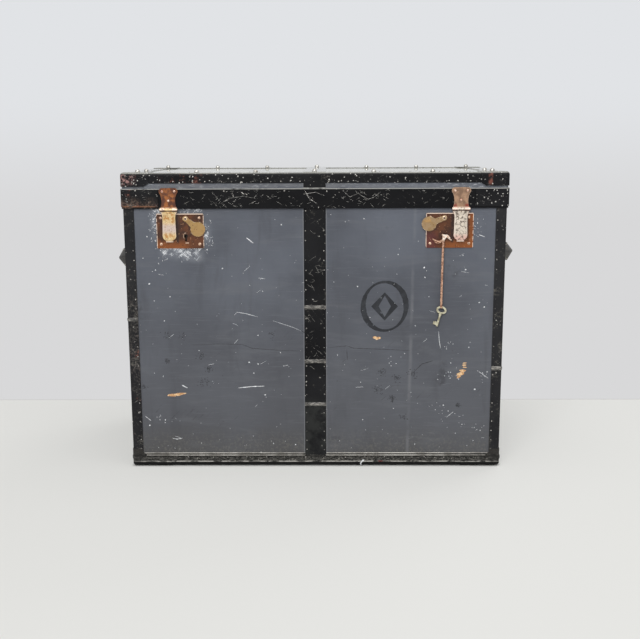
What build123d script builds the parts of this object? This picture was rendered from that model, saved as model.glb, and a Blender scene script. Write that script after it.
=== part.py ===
from build123d import *
from math import cos, pi, radians, sin
import os

# A tall travelling trunk: wooden boards under painted canvas, bound with black fibre strips.
# X runs along the width, -Y is the front with the locks, and Z = 0 is the floor.
# The origin is the middle of the face that the middle skid stands on. All sizes are in mm.

# Overall sizes, over the bindings
body_width = 810.0
body_depth = 420.0
overall_height = 645.0
lid_height = 60.0
skid_height = 5.0

# Sheet and board thicknesses
wall_board = 10.0
bottom_board_thickness = 10.0
lid_top_board_thickness = 8.0
canvas_thickness = 0.8
lining_thickness = 0.6
fibre_thickness = 1.2
body_edge_radius = 2.2
lid_edge_radius = 4.0
lid_gap = 1.0

# Fibre strips and corner pieces
corner_strip_width = 23.0
bottom_strip_height = 22.0
strap_width = 46.5
lid_strip_height = 22.0
lid_strip_top_width = 42.0
lid_corner_leg = 60.0
lid_corner_drop = 28.5
lid_corner_slope = 11.0
bottom_cap_leg = 86.0
bottom_cap_rise = 38.0
bottom_cap_slope = 9.0
bottom_cap_thickness = 1.2
button_radius = 9.0
button_rise = 3.4
button_inset = 16.0

# Valance round the lower edge of the lid
valance_thickness = 1.6
valance_drop = 11.0
valance_overhang = 15.0
valance_corner_thickness = 1.4
valance_corner_lift = 4.0
left_valance_corner_leg = 79.0
right_valance_corner_leg = 71.0
side_valance_corner_leg = 60.0

# Skids under the bottom
skid_width = 32.0
skid_end_inset = 35.0
skid_bevel = 3.5
skid_row_inset = 50.0

# Steel lip inside the rim
lip_thickness = 1.0
lip_rise = 8.0
lip_depth = 20.0
lip_back_gap = 12.0

# Domed studs on the lid
stud_radius = 5.25
stud_rise = 6.0
stud_end_inset = 30.6
stud_inset = 22.0
side_stud_inset = 34.0
side_stud_setback = 110.0
studs_per_row = 7

# Lock plates and cases
lock_inset = 120.0
plate_width = 100.0
plate_height = 73.5
plate_drop = 10.2
plate_thickness = 1.6
plate_corner_radius = 3.0
plate_lip_height = 2.6
plate_lip_proud = 1.0
case_margin = 7.0
case_depth = 9.8
case_thickness = 1.2
case_clearance = 0.4

# Keyhole, its rim and its swinging cover
keyhole_inward = 12.0
keyhole_radius = 3.8
keyhole_slot_width = 3.8
keyhole_slot_drop = 9.5
keyhole_rim_width = 1.8
keyhole_rim_proud = 0.6
cover_pivot_drop = 10.4
cover_pivot_to_keyhole = 36.9
cover_reach_short = 0.9
cover_radius = 15.0
cover_eye_radius = 6.0
cover_neck_half = 4.2
cover_neck_angle = 44.0
cover_thickness = 1.6
cover_edge_round = 0.6
cover_shoulder = 1.1
cover_shoulder_radius = 4.6
cover_pin_radius = 1.5
cover_head_radius = 3.6
cover_head_rise = 1.1
left_cover_swing = 49.0
right_cover_swing = 69.0
running_clearance = 0.05
face_clearance = 0.1

# Lock bolts
bolt_height = 6.0
bolt_thickness = 3.0
bolt_above_keyhole = 7.5
bolt_length = 46.0
bolt_gap_to_staple = 3.5
bolt_setback = 6.8
talon_width = 8.0
talon_depth = 2.0
guide_thickness = 3.0
guide_front_wall = 1.6
guide_rail = 1.6
guide_clearance = 0.2
guide_inset = 5.0

# Hasps
hasp_outward = 22.5
knuckle_drop = 2.0
knuckle_radius = 3.6
knuckle_pin_radius = 1.5
knuckle_standoff = 3.6
knuckle_width = 37.0
hasp_knuckle_width = 15.4
knuckle_gap = 0.3
hasp_plate_thickness = 1.4
hasp_plate_rise = 1.5
lobe_radius = 7.0
lobe_offset = 13.0
hasp_waist = 29.0
hasp_waist_above_knuckle = 20.0
hasp_side_drop = 12.5
hasp_side_half = 17.5
hasp_foot_width = 34.0
hasp_top_gap = 0.6
hasp_shoulder_width = 35.6
hasp_neck_width = 26.6
hasp_neck_drop = 15.0
hasp_belly_width = 28.4
hasp_belly_drop = 48.0
hasp_toe_width = 15.0
hasp_toe_drop = 60.0
hasp_toe_fullness = 0.25
hasp_toe_sag = 1 / 6
hasp_tab_length = 4.0
hasp_tab_thickness = 2.0
hasp_web = 3.0
hasp_thickness = 5.0
hasp_crown_radius = 42.0
hasp_seat_gap = 0.6
staple_thickness = 3.0
staple_height = 12.0
staple_reach = 11.0
staple_eye_margin = 0.6
staple_slot_clearance = 1.1
staple_swing_room = 2.0

# Rivet heads
rivet_radius = 3.0
rivet_rise = 0.8
rivet_inset = 9.0
hasp_rivet_radius = 2.4
hasp_rivet_rise = 1.0
hasp_rivet_drop = 26.5

# Handles and their caps
handle_height = 460.0
left_handle_droop = 14.0
right_handle_droop = 3.0
handle_bow = 37.5
handle_half_span = 80.0
handle_depth = 46.0
handle_ridge = 12.5
handle_belly = 5.0
handle_edge = 4.0
handle_bevel = 1.2
handle_end_radius = 6.5
handle_clearance = 0.3
handle_sections = 9
handle_fullness = 0.55
knob_radius = 8.0
knob_length = 5.0
knob_gap = 1.0
handle_standoff = 9.2
cap_length = 26.0
cap_height = 60.0
cap_thickness = 1.6
cap_rivet_radius = 4.0
cap_rivet_rise = 2.4
cap_rivet_offset = 22.0
cap_edge_radius = 4.0

# Hinges at the back
hinge_inset = 155.0
hinge_width = 50.0
hinge_thickness = 1.5
hinge_axis_rise = 1.0
hinge_axis_standoff = 7.5
hinge_knuckle_radius = 3.4
hinge_pin_radius = 1.6
hinge_middle_width = 17.0
hinge_leaf_length = 40.0
hinge_joggle = 8.0
back_valance_lift = 7.0

# Key and the cord that it hangs on
cord_radius = 2.5
cord_hang = 6.2
cord_exit_run = 12.0
cord_length = 155.0
cord_bend_share = 0.45
key_bow_width = 22.0
key_bow_height = 17.0
key_bow_wall = 4.0
key_thickness = 3.0
key_shaft_radius = 2.3
key_shaft_length = 30.0
key_collar_radius = 3.2
key_collar_length = 2.5
key_bit_width = 7.5
key_bit_height = 7.0
key_bit_thickness = 2.2
key_lean = 14.5
key_overlap = 3.0

# Faces that the pieces seat on, measured from the middle of the trunk
split_height = overall_height - lid_height
lock_offset = body_width / 2 - lock_inset
keyhole_offset = lock_offset - keyhole_inward
hasp_offset = lock_offset + hasp_outward
hinge_offset = body_width / 2 - hinge_inset
skid_length = body_width - 2 * skid_end_inset
skid_spacing = body_depth / 2 - skid_row_inset
stud_spacing = (body_width - 2 * stud_end_inset) / (studs_per_row - 1)
board_x = body_width / 2 - fibre_thickness - canvas_thickness
board_y = body_depth / 2 - fibre_thickness - canvas_thickness
board_floor = skid_height + canvas_thickness
lid_board_x = board_x + fibre_thickness + lid_gap
lid_board_y = board_y + fibre_thickness + lid_gap
lid_board_top = overall_height - fibre_thickness - canvas_thickness
body_face = board_y + canvas_thickness
side_face = board_x + canvas_thickness
lid_face = lid_board_y + canvas_thickness
valance_face = lid_face + valance_thickness
valance_foot = split_height - valance_overhang
valance_top = overall_height - lid_strip_height - valance_drop
floor_top = board_floor + bottom_board_thickness
strip_foot = skid_height + bottom_strip_height
plate_top = valance_foot - plate_drop
plate_foot = plate_top - plate_height
cover_pivot_height = plate_top - cover_pivot_drop
cover_reach = cover_pivot_to_keyhole - cover_reach_short
keyhole_centre = cover_pivot_height - cover_pivot_to_keyhole
bolt_centre = keyhole_centre + bolt_above_keyhole
knuckle_height = valance_foot - knuckle_drop
hasp_plate_top = valance_top + hasp_plate_rise
hasp_waist_height = knuckle_height + hasp_waist_above_knuckle
hasp_side_top = hasp_plate_top - hasp_side_drop
far = body_width


def block(x, y, z):
    """A box between the two values given for each axis."""
    size = [abs(span[1] - span[0]) for span in (x, y, z)]
    middle = [sum(span) / 2 for span in (x, y, z)]
    return Pos(*middle) * Box(*size)


def save(name, *solids):
    """One node's file, with each piece as a solid of its own."""
    pieces = [solid for shape in solids for solid in shape.solids()]
    export_step(pieces[0] if len(pieces) == 1 else Compound(pieces), f"parts/{name}.step")


def mirrored(shape):
    """The left-hand copy of a right-hand piece."""
    return mirror(shape, about=Plane.YZ)


def tray(half_x, half_y, open_end, closed_end, radius):
    """A block whose upright edges and closed end are rounded."""
    solid = block((-half_x, half_x), (-half_y, half_y), (open_end, closed_end))
    solid = fillet(solid.edges().filter_by(Axis.Z), radius)
    end = solid.faces().sort_by(Axis.Z)[-1 if closed_end > open_end else 0]
    return fillet(end.edges(), radius)


def body_layer(grow):
    """The body's boards as one block, grown outwards by the sheets laid over them."""
    radius = body_edge_radius + grow
    return tray(board_x + grow, board_y + grow, split_height, board_floor - grow, radius)


def lid_layer(grow):
    """The lid's boards as one block, grown outwards by the sheets laid over them."""
    radius = lid_edge_radius + grow
    return tray(lid_board_x + grow, lid_board_y + grow, split_height, lid_board_top + grow, radius)


def lid_wall(inner, outer, foot, top):
    """An upright wall round the lid, between two offsets from its boards."""
    shell = None
    for grow in (outer, inner):
        width = 2 * (lid_board_x + grow)
        depth = 2 * (lid_board_y + grow)
        profile = RectangleRounded(width, depth, lid_edge_radius + grow)
        prism = Pos(0, 0, foot) * extrude(profile, top - foot)
        shell = prism if shell is None else shell - prism
    return shell


def mitred(ring, half_x, half_y):
    """A ring cut into its front, back, left and right strips at its corners."""
    ridge = half_x - half_y
    front = Polyline((-half_x, -half_y), (half_x, -half_y), (ridge, 0), (-ridge, 0), close=True)
    right = Polyline((half_x, -half_y), (half_x, half_y), (ridge, 0), close=True)
    strips = []
    for outline in (front, right):
        wedge = Pos(0, 0, -far) * extrude(make_face(outline), 2 * far)
        strip = ring & wedge
        strips += [strip, Rot(0, 0, 180) * strip]
    return strips


def dome(radius, rise):
    """A round head with a flat seat at the origin, rising along +Z."""
    sphere = (radius**2 + rise**2) / (2 * rise)
    return Pos(0, 0, rise - sphere) * Sphere(sphere) & Pos(0, 0, rise) * Cylinder(radius, 2 * rise)


def front_head(x, face, z, radius, rise):
    """A dome on a front face, pointing to -Y."""
    return Pos(x, face, z) * Rot(90, 0, 0) * dome(radius, rise)


def on_front(outline, face, proud):
    """A flat outline in X and Z, thickened from a front face towards -Y."""
    plane = Plane(origin=(0, face, 0), x_dir=(1, 0, 0), z_dir=(0, -1, 0))
    return extrude(plane * outline, proud)


# Body boards: the front and back run the full width, and the others fit between them.
def make_body_boards():
    whole = body_layer(0)
    inner_x = board_x - wall_board
    inner_y = board_y - wall_board
    front = whole & block((-far, far), (-far, -inner_y), (0, split_height))
    for side in (-1, 1):
        front -= case_pocket(side, -inner_y)
    back = whole & block((-far, far), (inner_y, far), (0, split_height))
    right = whole & block((inner_x, far), (-inner_y, inner_y), (0, split_height))
    bottom = whole & block((-inner_x, inner_x), (-inner_y, inner_y), (0, floor_top))
    save("front_board", front)
    save("back_board", back)
    save("right_board", right)
    save("left_board", mirrored(right))
    save("bottom_board", bottom)


def case_pocket(side, back):
    """The opening through the front wall that a lock case drops into."""
    half_width = plate_width / 2 - case_margin + case_clearance
    foot = plate_foot + case_margin - case_clearance
    top = plate_top - case_margin + case_clearance
    middle = side * lock_offset
    return block((middle - half_width, middle + half_width), (-far, back), (foot, top))


def make_body_skins():
    inner_x = board_x - wall_board
    inner_y = board_y - wall_board
    cover = body_layer(canvas_thickness) - body_layer(0)
    for side in (-1, 1):
        cover -= case_pocket(side, 0)
    save("body_canvas", cover)
    paper_top = split_height - lip_depth
    room = block((-inner_x, inner_x), (-inner_y, inner_y), (floor_top, paper_top))
    void_x = inner_x - lining_thickness
    void_y = inner_y - lining_thickness
    void = block((-void_x, void_x), (-void_y, void_y), (floor_top + lining_thickness, far))
    save("body_lining", room - void)
    lip_x = inner_x - lip_thickness
    lip_y = inner_y - lip_thickness
    lip_end = inner_y - lip_back_gap
    lip = block((-inner_x, inner_x), (-inner_y, lip_end), (paper_top, split_height + lip_rise))
    save("rim_lip", lip - block((-lip_x, lip_x), (-lip_y, far), (0, far)))


# Fibre bindings nailed over the canvas of the body, and the caps on its bottom corners
def make_body_bindings():
    skin = body_layer(canvas_thickness + fibre_thickness) - body_layer(canvas_thickness)
    edge_x = board_x + canvas_thickness + fibre_thickness
    edge_y = board_y + canvas_thickness + fibre_thickness
    inner_x = edge_x - corner_strip_width
    inner_y = edge_y - corner_strip_width
    corner = skin & block((inner_x, far), (-far, -inner_y), (strip_foot, split_height))
    save("corner_binding_front_right", corner)
    save("corner_binding_front_left", mirrored(corner))
    save("corner_binding_back_right", mirror(corner, about=Plane.XZ))
    save("corner_binding_back_left", mirrored(mirror(corner, about=Plane.XZ)))
    ring = skin & block((-far, far), (-far, far), (0, strip_foot))
    ring -= block((-inner_x, inner_x), (-inner_y, inner_y), (0, strip_foot))
    save("bottom_binding", *mitred(ring, edge_x, edge_y))
    half = strap_width / 2
    strap = block((-half, half), (-body_face - fibre_thickness, -body_face), (strip_foot, split_height))
    save("front_strap", strap)
    save("back_strap", mirror(strap, about=Plane.XZ))


def gusset(leg, rise):
    """The outline of a corner piece's face: two legs from the origin and a sloping inner edge."""
    width = corner_strip_width
    slope = width + bottom_cap_slope
    points = [(0, 0), (leg, 0), (leg, width), (slope, width), (width, slope), (width, rise), (0, rise)]
    return make_face(Polyline(*points, close=True))


def make_bottom_caps():
    skin_inside = canvas_thickness + fibre_thickness
    skin = body_layer(skin_inside + bottom_cap_thickness) - body_layer(skin_inside)
    edge_x = board_x + skin_inside + bottom_cap_thickness
    edge_y = board_y + skin_inside + bottom_cap_thickness
    floor = board_floor - skin_inside - bottom_cap_thickness
    front = Plane(origin=(edge_x, 0, floor), x_dir=(-1, 0, 0), z_dir=(0, 1, 0))
    side = Plane(origin=(0, -edge_y, floor), x_dir=(0, 1, 0), z_dir=(1, 0, 0))
    under = Plane(origin=(edge_x, -edge_y, 0), x_dir=(-1, 0, 0), z_dir=(0, 0, -1))
    cap = skin
    for plane, rise in ((front, bottom_cap_rise), (side, bottom_cap_rise), (under, bottom_cap_leg)):
        cap &= extrude(plane * gusset(bottom_cap_leg, rise), far, both=True)
    seat = Pos(edge_x, button_inset - edge_y, floor + button_inset)
    cap += seat * Rot(0, 90, 0) * dome(button_radius, button_rise)
    back = mirror(cap, about=Plane.XZ)
    save("bottom_corner_caps", cap, back, mirrored(cap), mirrored(back))


# Three hardwood skids along the bottom, with bevelled ends
def make_skids():
    half = skid_length / 2
    profile = [(-half, skid_height), (half, skid_height), (half - skid_bevel, 0), (skid_bevel - half, 0)]
    outline = make_face(Polyline(*profile, close=True))
    for name, row in (("front", -1), ("middle", 0), ("back", 1)):
        face = row * skid_spacing + skid_width / 2
        save(f"skid_{name}", on_front(outline, face, skid_width))


# Lid boards: a top board over four walls, with the same joints as the body
def make_lid_boards():
    whole = lid_layer(0)
    inner_x = lid_board_x - wall_board
    inner_y = lid_board_y - wall_board
    under = lid_board_top - lid_top_board_thickness
    front = whole & block((-far, far), (-far, -inner_y), (split_height, under))
    right = whole & block((inner_x, far), (-inner_y, inner_y), (split_height, under))
    save("lid_top_board", whole & block((-far, far), (-far, far), (under, far)))
    save("lid_front_board", front)
    save("lid_back_board", mirror(front, about=Plane.XZ))
    save("lid_right_board", right)
    save("lid_left_board", mirrored(right))
    save("lid_canvas", lid_layer(canvas_thickness) - lid_layer(0))
    room = block((-inner_x, inner_x), (-inner_y, inner_y), (split_height, under))
    void_x = inner_x - lining_thickness
    void_y = inner_y - lining_thickness
    void = block((-void_x, void_x), (-void_y, void_y), (split_height, under - lining_thickness))
    save("lid_lining", room - void)


def lid_edge_ring():
    """The strips round the top edges of the lid, as one ring before they are cut apart."""
    ring = lid_layer(canvas_thickness + fibre_thickness) - lid_layer(canvas_thickness)
    ring &= block((-far, far), (-far, far), (overall_height - lid_strip_height, far))
    inner_x = lid_board_x + canvas_thickness + fibre_thickness - lid_strip_top_width
    inner_y = lid_board_y + canvas_thickness + fibre_thickness - lid_strip_top_width
    return ring - block((-inner_x, inner_x), (-inner_y, inner_y), (0, far))


def valance_ring():
    """The band round the foot of the lid: it hangs past the rim in front and at the sides."""
    outer = canvas_thickness + valance_thickness
    ring = lid_wall(canvas_thickness, outer, valance_foot, valance_top)
    return ring - block((-far, far), (back_cut(), far), (0, split_height + back_valance_lift))


def back_cut():
    """Where the side bands stop, short of the back corners."""
    return lid_face - lid_edge_radius - canvas_thickness - valance_thickness


def make_lid_bindings():
    edge = canvas_thickness + fibre_thickness
    save("lid_edge_binding", *mitred(lid_edge_ring(), lid_board_x + edge, lid_board_y + edge))
    band = valance_ring()
    at_back = block((-far, far), (back_cut(), far), (0, far))
    save("valance", band - at_back, band & at_back)
    half = strap_width / 2
    strap = lid_layer(edge + fibre_thickness) - lid_layer(canvas_thickness) - lid_edge_ring()
    save("lid_strap", strap & block((-half, half), (-far, far), (valance_top, far)))


def make_lid_corners():
    edge = canvas_thickness + fibre_thickness
    skin = lid_layer(edge + fibre_thickness) - lid_layer(edge)
    skin_below = lid_layer(edge + fibre_thickness) - lid_layer(canvas_thickness)
    below = block((-far, far), (-far, far), (0, overall_height - lid_strip_height))
    skin += skin_below & below
    edge_x = lid_board_x + edge + fibre_thickness
    edge_y = lid_board_y + edge + fibre_thickness
    top = overall_height + fibre_thickness
    strip = lid_strip_height + fibre_thickness
    drop = lid_corner_drop + fibre_thickness
    flat = lid_corner_leg - lid_corner_slope
    points = [(0, 0), (lid_corner_leg, 0), (lid_corner_leg, strip), (flat, drop), (0, drop)]
    outline = make_face(Polyline(*points, close=True))
    front = Plane(origin=(edge_x, 0, top), x_dir=(-1, 0, 0), z_dir=(0, -1, 0))
    side = Plane(origin=(0, -edge_y, top), x_dir=(0, 1, 0), z_dir=(-1, 0, 0))
    corner = skin
    for plane in (front, side):
        corner &= extrude(plane * outline, far, both=True)
    back = mirror(corner, about=Plane.XZ)
    save("lid_corners", corner, back, mirrored(corner), mirrored(back))


def make_valance_corners():
    inner = canvas_thickness + valance_thickness
    outer = inner + valance_corner_thickness
    reach_x = lid_board_x + outer
    reach_y = lid_board_y + outer
    front_wall = lid_wall(inner, outer, valance_foot + valance_corner_lift, valance_top)
    back_wall = lid_wall(inner, outer, split_height + back_valance_lift, valance_top)
    side = reach_y - side_valance_corner_leg
    pieces = []
    for hand, leg in ((1, right_valance_corner_leg), (-1, left_valance_corner_leg)):
        x = (hand * (reach_x - leg), hand * far)
        pieces.append(front_wall & block(x, (-far, -side), (0, far)))
        pieces.append(back_wall & block(x, (side, far), (0, far)))
    save("valance_corners", *pieces)


# Domed studs: a row along the front edge, one along the back, and one at each side
def make_studs():
    row = lid_board_y + canvas_thickness + fibre_thickness - stud_inset
    studs = []
    last = studs_per_row // 2
    for place in range(-last, last + 1):
        raised = fibre_thickness if place in (-last, 0, last) else 0
        for y in (-row, row):
            studs.append(Pos(place * stud_spacing, y, overall_height + raised) * dome(stud_radius, stud_rise))
    side = lid_board_x + canvas_thickness + fibre_thickness - side_stud_inset
    for x in (-side, side):
        studs.append(Pos(x, side_stud_setback - lid_face, overall_height) * dome(stud_radius, stud_rise))
    save("dome_studs", *studs)


# Locks: a plate over the canvas, with a case behind it, let into the wall
def staple_slot():
    """The slot that the staple swings through, a little lower than the staple at rest."""
    half = staple_thickness / 2 + staple_slot_clearance
    foot = bolt_centre - staple_height / 2 - staple_swing_room
    top = bolt_centre + staple_height / 2 + staple_slot_clearance
    return block((hasp_offset - half, hasp_offset + half), (-far, 0), (foot, top))


def keyhole(grow):
    """A round hole over a slot with a round end."""
    slot_end = keyhole_centre - keyhole_slot_drop
    half = keyhole_slot_width / 2 + grow
    slot = Pos(keyhole_offset, (keyhole_centre + slot_end) / 2)
    shape = slot * Rectangle(2 * half, keyhole_slot_drop)
    shape += Pos(keyhole_offset, keyhole_centre) * Circle(keyhole_radius + grow)
    return shape + Pos(keyhole_offset, slot_end) * Circle(half)


def make_lock_plates():
    left = lock_offset - plate_width / 2
    right = lock_offset + plate_width / 2
    face = -body_face - plate_thickness
    plate = block((left, right), (face, -body_face), (plate_foot, plate_top))
    plate = fillet(plate.edges().filter_by(Axis.Y), plate_corner_radius)
    lip = block((left, right), (face - plate_lip_proud, face), (plate_top - plate_lip_height, plate_top))
    lip &= block((left + plate_corner_radius, right - plate_corner_radius), (-far, 0), (0, far))
    plate += lip
    plate += on_front(keyhole(keyhole_rim_width), face, keyhole_rim_proud)
    plate -= on_front(keyhole(0), 0, far)
    plate -= staple_slot()
    save("lock_plate_right", plate)
    save("lock_plate_left", mirrored(plate))


def bolt_guide(x):
    """An upright in the case with a window that the bolt slides through."""
    back = -body_face + case_depth - case_thickness
    front = bolt_front() - guide_clearance - guide_front_wall
    half = bolt_height / 2 + guide_clearance + guide_rail
    post = block((x, x + guide_thickness), (front, back), (bolt_centre - half, bolt_centre + half))
    window_half = bolt_height / 2 + guide_clearance
    y = (bolt_front() - guide_clearance, bolt_front() + bolt_thickness + guide_clearance)
    window = block((x, x + guide_thickness), y, (bolt_centre - window_half, bolt_centre + window_half))
    return post - window


def bolt_front():
    """The front face of the bolt, behind the lock plate."""
    return -body_face + bolt_setback - bolt_thickness - case_thickness


def bolt_tip():
    """Where the withdrawn bolt ends, clear of the staple."""
    return hasp_offset - staple_thickness / 2 - bolt_gap_to_staple


def make_lock_cases():
    half = plate_width / 2 - case_margin
    x = (lock_offset - half, lock_offset + half)
    z = (plate_foot + case_margin, plate_top - case_margin)
    back = -body_face + case_depth
    case = block(x, (-body_face, back), z)
    void_x = (x[0] + case_thickness, x[1] - case_thickness)
    void_z = (z[0] + case_thickness, z[1] - case_thickness)
    case -= block(void_x, (-body_face, back - case_thickness), void_z)
    case += bolt_guide(bolt_tip() - guide_inset - guide_thickness)
    case += bolt_guide(bolt_tip() - bolt_length + guide_inset)
    save("lock_case_right", case)
    save("lock_case_left", mirrored(case))


def make_lock_bolts():
    y = (bolt_front(), bolt_front() + bolt_thickness)
    half = bolt_height / 2
    bolt = block((bolt_tip() - bolt_length, bolt_tip()), y, (bolt_centre - half, bolt_centre + half))
    talon = (keyhole_offset - talon_width / 2, keyhole_offset + talon_width / 2)
    bolt -= block(talon, y, (bolt_centre - half, bolt_centre - half + talon_depth))
    save("lock_bolt_right", bolt)
    save("lock_bolt_left", mirrored(bolt))


# Keyhole covers: a drop-shaped plate that swings on a shouldered rivet
def make_keyhole_covers():
    neck_x = cover_radius * sin(radians(cover_neck_angle))
    neck_z = cover_radius * cos(radians(cover_neck_angle)) - cover_reach
    points = [(-cover_neck_half, 0), (cover_neck_half, 0), (neck_x, neck_z), (-neck_x, neck_z)]
    outline = make_face(Polyline(*points, close=True))
    outline += Circle(cover_eye_radius)
    outline += Pos(0, -cover_reach) * Circle(cover_radius)
    back = -body_face - plate_thickness - cover_shoulder
    drop = on_front(outline, back, cover_thickness)
    drop = fillet(drop.faces().sort_by(Axis.Y)[0].edges(), cover_edge_round)
    hole = Rot(90, 0, 0) * Cylinder(cover_pin_radius + running_clearance, far)
    drop -= hole
    for name, hand, swing in (("left", -1, left_cover_swing), ("right", 1, right_cover_swing)):
        place = Pos(hand * keyhole_offset, 0, cover_pivot_height) * Rot(0, hand * swing, 0)
        save(f"keyhole_cover_{name}", place * drop)


def make_cover_pivots():
    face = -body_face - plate_thickness
    shoulder = cover_shoulder - face_clearance
    front = cover_shoulder + cover_thickness + face_clearance
    pivot = Pos(0, 0, shoulder / 2) * Cylinder(cover_shoulder_radius, shoulder)
    pivot += Pos(0, 0, front / 2) * Cylinder(cover_pin_radius, front)
    pivot += Pos(0, 0, front) * dome(cover_head_radius, cover_head_rise)
    pivot = Pos(keyhole_offset, face, cover_pivot_height) * Rot(90, 0, 0) * pivot
    save("cover_pivots", pivot, mirrored(pivot))


# Hasps: a plate on the valance, a pin, and a crowned casting with the staple on its back
def knuckle_y():
    """The hasp pin's distance in front of the trunk's middle."""
    return -valance_face - knuckle_standoff


def rod(x, y, z, radius, length):
    """A round bar along X, centred at the place given."""
    return Pos(x, y, z) * Rot(0, 90, 0) * Cylinder(radius, length)


def hasp_plate_outline():
    """The upper plate from the front: two lobes, a waist, and a foot as wide as the knuckle's arms."""
    foot = knuckle_height + knuckle_radius
    lobe_height = hasp_plate_top - lobe_radius
    half_foot = hasp_foot_width / 2
    half_waist = hasp_waist / 2
    with BuildLine() as sides:
        Line((-half_foot, foot), (half_foot, foot))
        ThreePointArc((half_foot, foot), (half_waist, hasp_waist_height), (hasp_side_half, hasp_side_top))
        Line((hasp_side_half, hasp_side_top), (lobe_offset, hasp_plate_top))
        Line((lobe_offset, hasp_plate_top), (-lobe_offset, hasp_plate_top))
        Line((-lobe_offset, hasp_plate_top), (-hasp_side_half, hasp_side_top))
        ThreePointArc((-hasp_side_half, hasp_side_top), (-half_waist, hasp_waist_height), (-half_foot, foot))
    outline = make_face(sides.line)
    for hand in (-1, 1):
        outline += Pos(hand * lobe_offset, lobe_height) * Circle(lobe_radius)
    return outline


def make_hasp_plates():
    foot = knuckle_height + knuckle_radius
    plate = on_front(hasp_plate_outline(), -valance_face, hasp_plate_thickness)
    side_length = (knuckle_width - hasp_knuckle_width) / 2 - knuckle_gap
    for hand in (-1, 1):
        x = hand * (knuckle_width - side_length) / 2
        y = (-valance_face - hasp_plate_thickness, -valance_face)
        plate += rod(x, knuckle_y(), knuckle_height, knuckle_radius, side_length)
        web = block((x - side_length / 2, x + side_length / 2), y, (knuckle_height, foot))
        plate += web
    plate -= rod(0, knuckle_y(), knuckle_height, knuckle_pin_radius, knuckle_width)
    plate = Pos(hasp_offset, 0, 0) * plate
    save("hasp_plate_right", plate)
    save("hasp_plate_left", mirrored(plate))


def make_hasp_pins():
    pin = rod(hasp_offset, knuckle_y(), knuckle_height, knuckle_pin_radius, knuckle_width)
    save("hasp_pins", pin, mirrored(pin))


def hasp_outline():
    """The hasp from the front: flared under the knuckle, waisted, and round at its toe."""
    top = knuckle_height - knuckle_radius - hasp_top_gap
    shoulder = hasp_shoulder_width / 2
    neck = hasp_neck_width / 2
    belly = hasp_belly_width / 2
    toe = hasp_toe_width / 2
    neck_z = top - hasp_neck_drop
    belly_z = top - hasp_belly_drop
    toe_z = top - hasp_toe_drop
    bulge_x = (belly + toe) / 2 + hasp_toe_fullness * (belly - toe)
    bulge_z = (belly_z + toe_z) / 2 - hasp_toe_sag * (belly_z - toe_z)
    with BuildLine() as sides:
        Line((-shoulder, top), (shoulder, top))
        Spline((shoulder, top), (neck, neck_z), tangents=[(-1, -1), (0, -1)])
        Line((neck, neck_z), (belly, belly_z))
        ThreePointArc((belly, belly_z), (bulge_x, bulge_z), (toe, toe_z))
        Line((toe, toe_z), (-toe, toe_z))
        ThreePointArc((-toe, toe_z), (-bulge_x, bulge_z), (-belly, belly_z))
        Line((-belly, belly_z), (-neck, neck_z))
        Spline((-neck, neck_z), (-shoulder, top), tangents=[(0, 1), (-1, 1)])
    return make_face(sides.line)


def make_hasps():
    seat = -body_face - plate_thickness - plate_lip_proud - hasp_seat_gap
    top = knuckle_height - knuckle_radius - hasp_top_gap
    casting = on_front(hasp_outline(), seat, hasp_thickness)
    crown = Pos(0, seat - hasp_thickness + hasp_crown_radius, knuckle_height - hasp_toe_drop / 2)
    casting &= crown * Cylinder(hasp_crown_radius, 2 * hasp_toe_drop)
    half_toe = hasp_toe_width / 2
    toe = top - hasp_toe_drop
    casting += block((-half_toe, half_toe), (seat - hasp_tab_thickness, seat), (toe - hasp_tab_length, toe))
    half_knuckle = hasp_knuckle_width / 2
    casting += rod(0, knuckle_y(), knuckle_height, knuckle_radius, hasp_knuckle_width)
    neck = (knuckle_y() - hasp_web / 2, knuckle_y() + hasp_web / 2)
    casting += block((-half_knuckle, half_knuckle), neck, (top - hasp_web, knuckle_height))
    casting -= rod(0, knuckle_y(), knuckle_height, knuckle_pin_radius + running_clearance, hasp_knuckle_width)
    casting += staple(seat)
    casting = Pos(hasp_offset, 0, 0) * casting
    save("hasp_right", casting)
    save("hasp_left", mirrored(casting))


def staple(seat):
    """The eye on the hasp's back that the lock bolt passes through."""
    half = staple_thickness / 2
    half_height = staple_height / 2
    z = (bolt_centre - half_height, bolt_centre + half_height)
    lug = block((-half, half), (seat, seat + staple_reach), z)
    half_eye = bolt_height / 2 + staple_eye_margin
    y = (bolt_front() - staple_eye_margin, bolt_front() + bolt_thickness + staple_eye_margin)
    return lug - block((-half, half), y, (bolt_centre - half_eye, bolt_centre + half_eye))


# Rivet heads
def make_rivets():
    heads = []
    plate_face = -body_face - plate_thickness
    reach_x = plate_width / 2 - rivet_inset
    reach_z = plate_height / 2 - rivet_inset
    middle = plate_foot + plate_height / 2
    for hand in (-1, 1):
        for x in (-reach_x, reach_x):
            for z in (-reach_z, reach_z):
                place = hand * lock_offset + x
                heads.append(front_head(place, plate_face, middle + z, rivet_radius, rivet_rise))
        for y in (-cap_middle(), cap_middle()):
            for z in (-cap_rivet_offset, cap_rivet_offset):
                seat = Pos(hand * (side_face + cap_thickness), y, handle_height + z) * Rot(0, hand * 90, 0)
                heads.append(seat * dome(cap_rivet_radius, cap_rivet_rise))
    save("body_rivets", *heads)
    heads = []
    lobe_height = hasp_plate_top - lobe_radius
    face = -valance_face - hasp_plate_thickness
    for hand in (-1, 1):
        middle = hand * hasp_offset
        low = hasp_plate_top - hasp_rivet_drop
        for x, z in ((-lobe_offset, lobe_height), (lobe_offset, lobe_height), (0, low)):
            heads.append(front_head(middle + x, face, z, hasp_rivet_radius, hasp_rivet_rise))
    save("hasp_rivets", *heads)


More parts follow.
